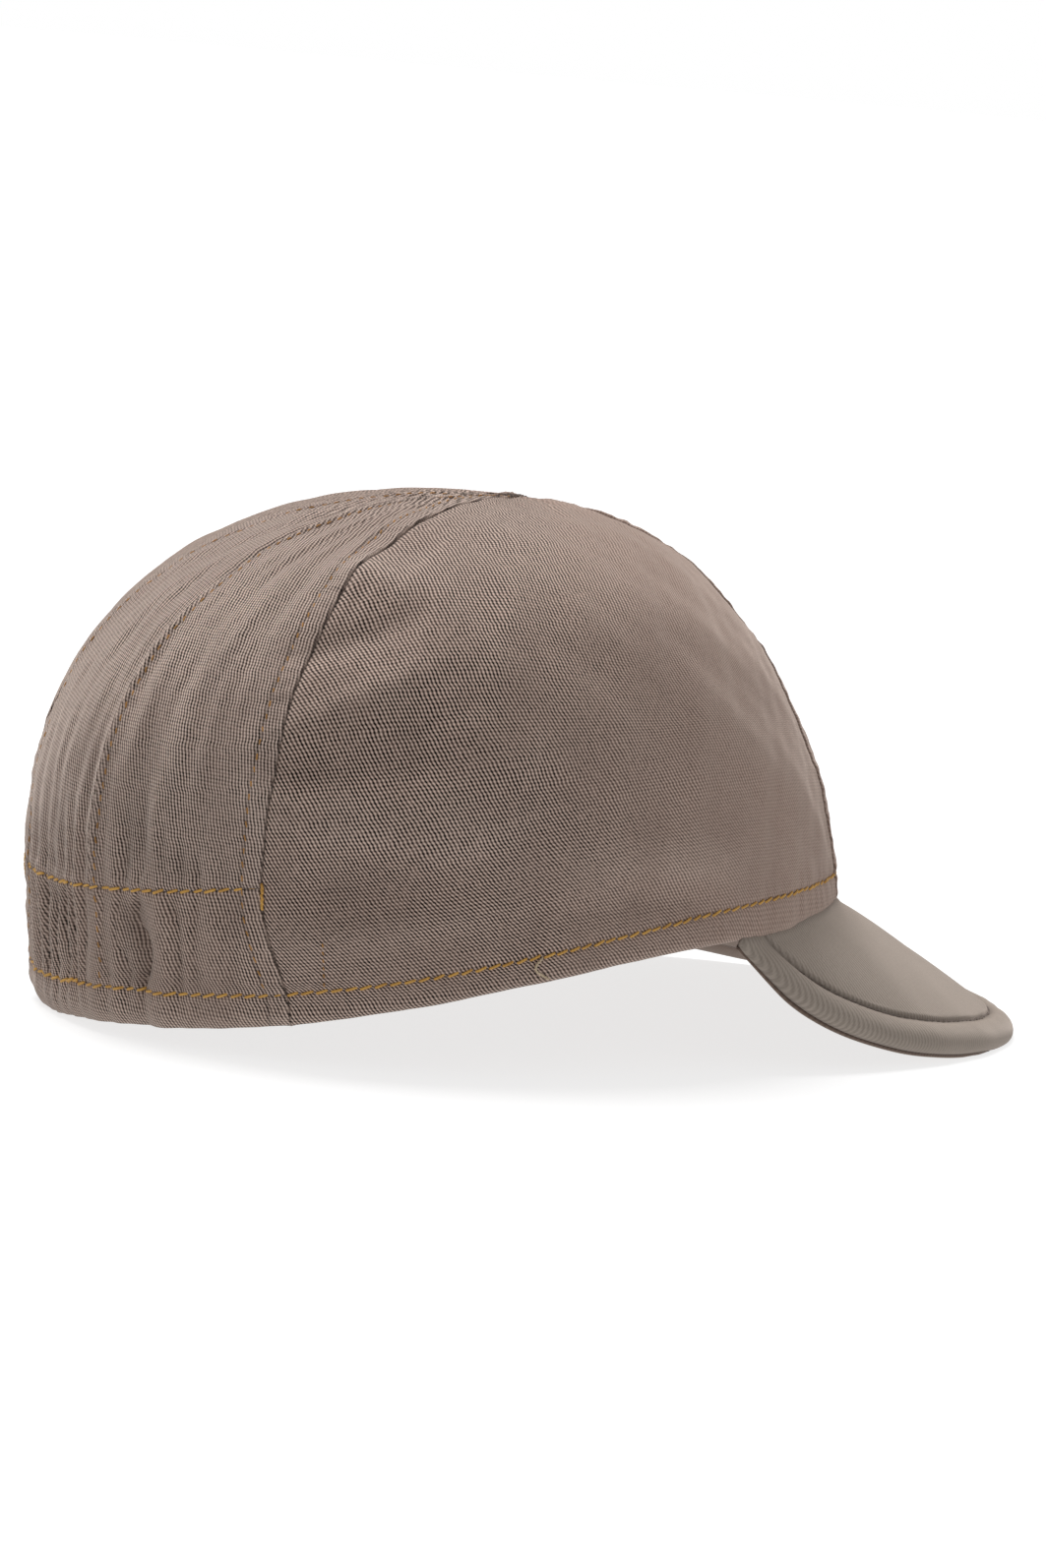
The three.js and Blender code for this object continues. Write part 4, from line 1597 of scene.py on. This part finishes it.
def shade(red: int, green: int, blue: int) -> tuple[float, float, float, float]:
    """A colour as it is seen, in parts of 255, made linear for a shader."""
    parts = [part / 255 for part in (red, green, blue)]
    return (*[p / 12.92 if p <= 0.04045 else ((p + 0.055) / 1.055) ** 2.4 for p in parts], 1.0)


@dataclass(frozen=True)
class Ribs:
    """A family of ribs in the weave: their slant in degrees from level and their pitch in millimetres."""

    slant: float
    pitch: float

    def wave(self, across: Value, along: Value) -> Value:
        """Reads the ribs.

        Args:
            across: millimetres across the flat cloth.
            along: millimetres along it.

        Returns:
            1 on the ribs and 0 between them.
        """
        turn = math.radians(self.slant)
        phase = along * (2 * math.pi * math.cos(turn) / self.pitch)
        phase = phase - across * (2 * math.pi * math.sin(turn) / self.pitch)
        return phase.cosine() * 0.5 + 0.5


@dataclass(frozen=True)
class Twill:
    """A washed cotton twill: steep ribs of thread crossed by level ones, with dark pinholes between them."""

    name: str
    thread: tuple[int, int, int]
    # The paler thread colour: the weave's light threads, fuzz, rubbing and painted highlight.
    pale_thread: tuple[int, int, int]
    deep: tuple[int, int, int]
    steep: Ribs = Ribs(60, 0.75)
    level: Ribs = Ribs(4, 0.76)
    contrast: float = 1.0
    toned_down: float = 0.13
    height: float = 0.14 * MM

    def material(self) -> bpy.types.Material:
        """Makes the cloth's material."""
        bench = Finish(self.name)
        place = bench.place()
        across, along = bench.flat()
        wander = bench.noise(place, 170) - 0.5
        waver = bench.noise(place, 60, 1.0) - 0.5
        across = across + wander * 0.3 + waver * 0.9
        along = along + wander * 0.25 - waver * 0.7
        steep = self.steep.wave(across, along)
        level = self.level.wave(across, along)
        threads = steep * 0.7 + level * 0.3
        holes = (1.0 - threads.between(0.05, 0.84)) * (0.35 + 1.3 * bench.noise(place, 900, 2.0, 0.6))
        lights = threads.between(0.5, 1.0)
        patch = bench.noise(place, 42, 3.0, 0.55)
        uneven = self.contrast * (0.85 + 0.3 * patch.between(0.3, 0.7))
        strength = (bench.kept("weave") * uneven).at_most(1.0)
        crease, wear = bench.kept("crease"), bench.kept("wear")
        fuzz = bench.noise(place, 1500, 2.0, 0.6)
        pale_thread, deep = shade(*self.pale_thread), shade(*self.deep)
        layers = (
            (lights * (0.14 + 0.76 * strength), pale_thread),
            ((fuzz - 0.3).between(0.0, 0.5) * 0.22, pale_thread),
            # Painted lighter where rubbed, and as highlight on the ridges, by the corners' numbers.
            ((wear * (0.35 + 0.65 * patch.between(0.25, 0.75))) * 0.4, pale_thread),
            ((1.0 - patch.between(0.2, 0.75)) * 0.12, deep),
            (holes * (0.12 + 0.88 * strength), deep),
            ((1.0 - strength) * self.toned_down, deep),
            # Painted shade in seams, stitch grooves, fold valleys and under edges.
            (crease * 0.6, deep),
        )
        colour = shade(*self.thread)
        for share, laid_over in layers:
            colour = bench.mix(share, colour, laid_over)
        relief = (1.0 - holes) * (0.25 + 0.75 * strength) + fuzz * 0.15
        bump_sockets = {"Strength": 0.7, "Distance": self.height, "Height": relief}
        constants = {
            "Sheen Weight": 0.55,
            "Sheen Roughness": 0.45,
            "Sheen Tint": shade(255, 238, 226),
            "Specular IOR Level": 0.2,
        }
        normal = bench.add("ShaderNodeBump", None, bump_sockets)
        return bench.dress(colour, 0.86 + 0.1 * fuzz, normal, constants)


@dataclass(frozen=True)
class SpunThread:
    """A twisted sewing thread."""

    name: str
    colour: tuple[int, int, int]
    # A darker colour: the thread's uneven tone, and painted shade between its plies.
    tone_and_shade: tuple[int, int, int]
    twist: float = 0.55

    def material(self) -> bpy.types.Material:
        """Makes the thread's material."""
        bench = Finish(self.name)
        place = bench.place()
        across, along = bench.flat()
        plies = ((across + along * 1.6) * (2 * math.pi / self.twist)).cosine() * 0.5 + 0.5
        patch = bench.noise(place, 300, 2.0)
        # Darker in random patches: the thread's own uneven tone.
        colour = bench.mix(patch.between(0.35, 0.75) * 0.45, shade(*self.colour), shade(*self.tone_and_shade))
        # Painted shade between the plies of the twist.
        colour = bench.mix(plies * 0.4, colour, shade(*self.tone_and_shade))
        bump_sockets = {"Strength": 0.5, "Distance": 0.06 * MM, "Height": plies * -1.0}
        normal = bench.add("ShaderNodeBump", None, bump_sockets)
        constants = {"Sheen Weight": 0.1, "Specular IOR Level": 0.35}
        return bench.dress(colour, 0.55 + 0.2 * patch, normal, constants)


@dataclass(frozen=True)
class PlainFloor:
    """A pale matt floor, lit from below as well, so that shadows on it stay faint."""

    colour: tuple[int, int, int] = (160, 160, 160)
    glow: float = 0.75

    def material(self) -> bpy.types.Material:
        """Makes the floor's material."""
        bench = Finish("pale_floor")
        grain = bench.noise(bench.place(), 9, 2.0)
        colour = bench.mix(grain * 0.05, shade(*self.colour), shade(154, 153, 152))
        normal = bench.add("ShaderNodeBump", None, {"Strength": 0.02, "Height": grain})
        glow = {"Emission Color": (1.0, 1.0, 1.0, 1.0), "Emission Strength": self.glow}
        return bench.dress(colour, 0.8 + 0.1 * grain, normal, glow)


@dataclass
class Studio:
    """The floor, the soft lights and the camera."""

    rest: CapFrame
    width: int = 1063
    height: int = 1594
    azimuth: float = math.radians(-131.661)
    elevation: float = math.radians(12.5)
    lean: float = math.radians(2.597)
    distance: float = 1.5
    focal_pixels: float = 6888.0
    rim_pixel: tuple[float, float] = (445.14, 951.997)
    sky: float = 0.3
    bounce: float = 0.57
    sun: Vector = Vector((0.44, -0.08, 1.0))
    sun_spread: float = 32
    sun_strength: float = 2.45

    def camera(self) -> None:
        """Sets the camera where the photograph was taken from."""
        direction = Vector(
            (
                math.sin(self.azimuth) * math.cos(self.elevation),
                -math.cos(self.azimuth) * math.cos(self.elevation),
                math.sin(self.elevation),
            )
        )
        right = (-direction).cross(Vector((0, 0, 1))).normalized()
        up = right.cross(-direction)
        aside = (self.width / 2 - self.rim_pixel[0]) / self.focal_pixels
        below = (self.height / 2 - self.rim_pixel[1]) / self.focal_pixels
        ahead = (-direction + right * aside - up * below).normalized()
        level = ahead.cross(up).normalized()
        over = level.cross(ahead)
        tip = Matrix.Rotation(-(self.rest.pitch - self.lean), 3, "X")
        axes = Matrix((tip @ level, tip @ over, tip @ -ahead)).transposed()
        data = bpy.data.cameras.new("camera")
        data.sensor_width = 36
        data.lens = self.focal_pixels * data.sensor_width / self.height
        data.clip_start = 0.05
        data.clip_end = 20
        camera = bpy.data.objects.new("camera", data)
        bpy.context.collection.objects.link(camera)
        place = self.rest.origin + tip @ direction * self.distance
        camera.matrix_world = Matrix.Translation(place) @ axes.to_4x4()
        bpy.context.scene.camera = camera

    def floor(self) -> None:
        """Lays the floor that the cap rests on."""
        Modelling.deselect()
        bpy.ops.mesh.primitive_plane_add(size=80, location=(0, 0, -0.05 * MM))
        floor = bpy.context.object
        floor.name = "floor"
        floor.data.materials.append(PlainFloor().material())
        floor.visible_diffuse = False

    def light(self, name: str, place: Vector, spread: float, strength: float) -> None:
        """Shines an even soft light on the whole floor.

        Args:
            name: name of the light.
            place: the direction that it comes from.
            spread: how wide it looks, in degrees, which softens its shadows.
            strength: its strength.
        """
        data = bpy.data.lights.new(name, "SUN")
        data.angle = math.radians(spread)
        data.energy = strength
        lamp = bpy.data.objects.new(name, data)
        bpy.context.collection.objects.link(lamp)
        lamp.rotation_mode = "QUATERNION"
        lamp.rotation_quaternion = (-place).to_track_quat("-Z", "Y")

    def lights(self) -> None:
        """Lights the cap from above, against a white room."""
        world = bpy.data.worlds.new("room")
        bpy.context.scene.world = world
        world.use_nodes = True
        tree = world.node_tree
        backdrop = tree.nodes["Background"]
        way = tree.nodes.new("ShaderNodeTexCoord")
        split = tree.nodes.new("ShaderNodeSeparateXYZ")
        rise = tree.nodes.new("ShaderNodeMapRange")
        rise.inputs[1].default_value = -1.0
        blend = tree.nodes.new("ShaderNodeValToRGB")
        ramp = blend.color_ramp
        levels = ((-1.0, self.bounce), (-0.06, self.bounce), (-0.015, 1.0), (0.05, 1.0), (0.16, self.sky))
        while len(ramp.elements) < len(levels):
            ramp.elements.new(0.5)
        for stop, (height, level) in zip(ramp.elements, levels):
            stop.position = (height + 1) / 2
            stop.color = (level, level, level, 1)
        tree.links.new(way.outputs["Generated"], split.inputs[0])
        tree.links.new(split.outputs[2], rise.inputs[0])
        tree.links.new(rise.outputs[0], blend.inputs[0])
        tree.links.new(blend.outputs[0], backdrop.inputs[0])
        self.light("over", self.sun, self.sun_spread, self.sun_strength)
        bpy.context.scene.view_settings.view_transform = "Standard"

    def build(self) -> None:
        """Sets up the floor, the lights and the camera."""
        self.floor()
        self.lights()
        self.camera()


TWILL = Twill("crown_twill", (188, 159, 145), (250, 225, 210), (17, 9, 6))
BACK_TWILL = Twill(
    "back_twill", (192, 165, 152), (252, 230, 216), (18, 10, 7), Ribs(77, 0.66), Ribs(11, 0.75), 0.85
)
BAND_TWILL = Twill(
    "band_twill", (191, 163, 149), (250, 226, 211), (17, 9, 6), Ribs(72, 0.72), Ribs(8, 0.76), 0.85
)
PEAK_TWILL = Twill(
    "peak_twill", (174, 161, 149), (201, 188, 176), (58, 48, 42), contrast=0.7, toned_down=0.0
)
UNDER_TWILL = Twill("peak_under_twill", (134, 112, 99), (156, 134, 120), (44, 33, 27), contrast=0.7)
OCHRE = SpunThread("ochre_thread", (244, 190, 92), (160, 106, 44))
RAW = SpunThread("raw_thread", (226, 206, 176), (170, 146, 116))
# The ochre thread painted darker, as shade where stitches lie in the seams' grooves. The mend's stitches
# take it too.
SUNK = SpunThread("sunk_thread", (204, 148, 78), (130, 94, 56))
TONE = SpunThread("tone_thread", (128, 113, 103), (78, 66, 58))


def settle(piece: bpy.types.Object, slot: str, finish: bpy.types.Material, *nodes: str) -> None:
    """Puts a finished piece in its place on the cap.

    Args:
        piece: the piece.
        slot: name of the piece's slot, which is only logged.
        finish: its material.
        nodes: the solids that it stands for.
    """
    piece.data.materials.clear()
    piece.data.materials.append(finish)
    if nodes:
        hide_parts(*nodes)
    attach(piece, BODY)
    faces = len(piece.data.polygons)
    LOG.info("%s: %d faces, finish %s, slot %s", piece.name, faces, finish.name, slot)


def corners(box: tuple[Vector, Vector]) -> list[list[float]]:
    """Turns a box's two corners into plain numbers."""
    return [[round(value, 6) for value in corner] for corner in box]


def main() -> None:
    """Builds the cap, dresses it and sets up the studio."""
    logging.basicConfig(level=logging.INFO, format="%(name)s: %(message)s")
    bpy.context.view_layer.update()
    rest = CapFrame()
    form = CrownForm(rest)
    crown = Crown(form)
    twill, back, band = TWILL.material(), BACK_TWILL.material(), BAND_TWILL.material()
    finishes = {"front": twill, "side": twill, "back": back, "band": band}
    for panel in crown.panels():
        settle(panel.build(form), panel.slot, finishes[panel.name.split("_")[0]], panel.node)
    peak = Peak(form)
    top, under = peak.build()
    settle(top, "peak_cloth", PEAK_TWILL.material(), "peak_top")
    settle(under, "peak_under_cloth", UNDER_TWILL.material(), "peak_under")
    spools = {Thread.OCHRE: OCHRE, Thread.SUNK: SUNK, Thread.RAW: RAW, Thread.TONE: TONE}
    threads = {thread: spool.material() for thread, spool in spools.items()}
    for name, (piece, thread) in Topstitching(form).sew(crown, peak).items():
        settle(piece, "peak_cloth" if name.startswith("peak") else "crown_cloth", threads[thread])
    Studio(rest).build()


if __name__ == "__main__":
    main()
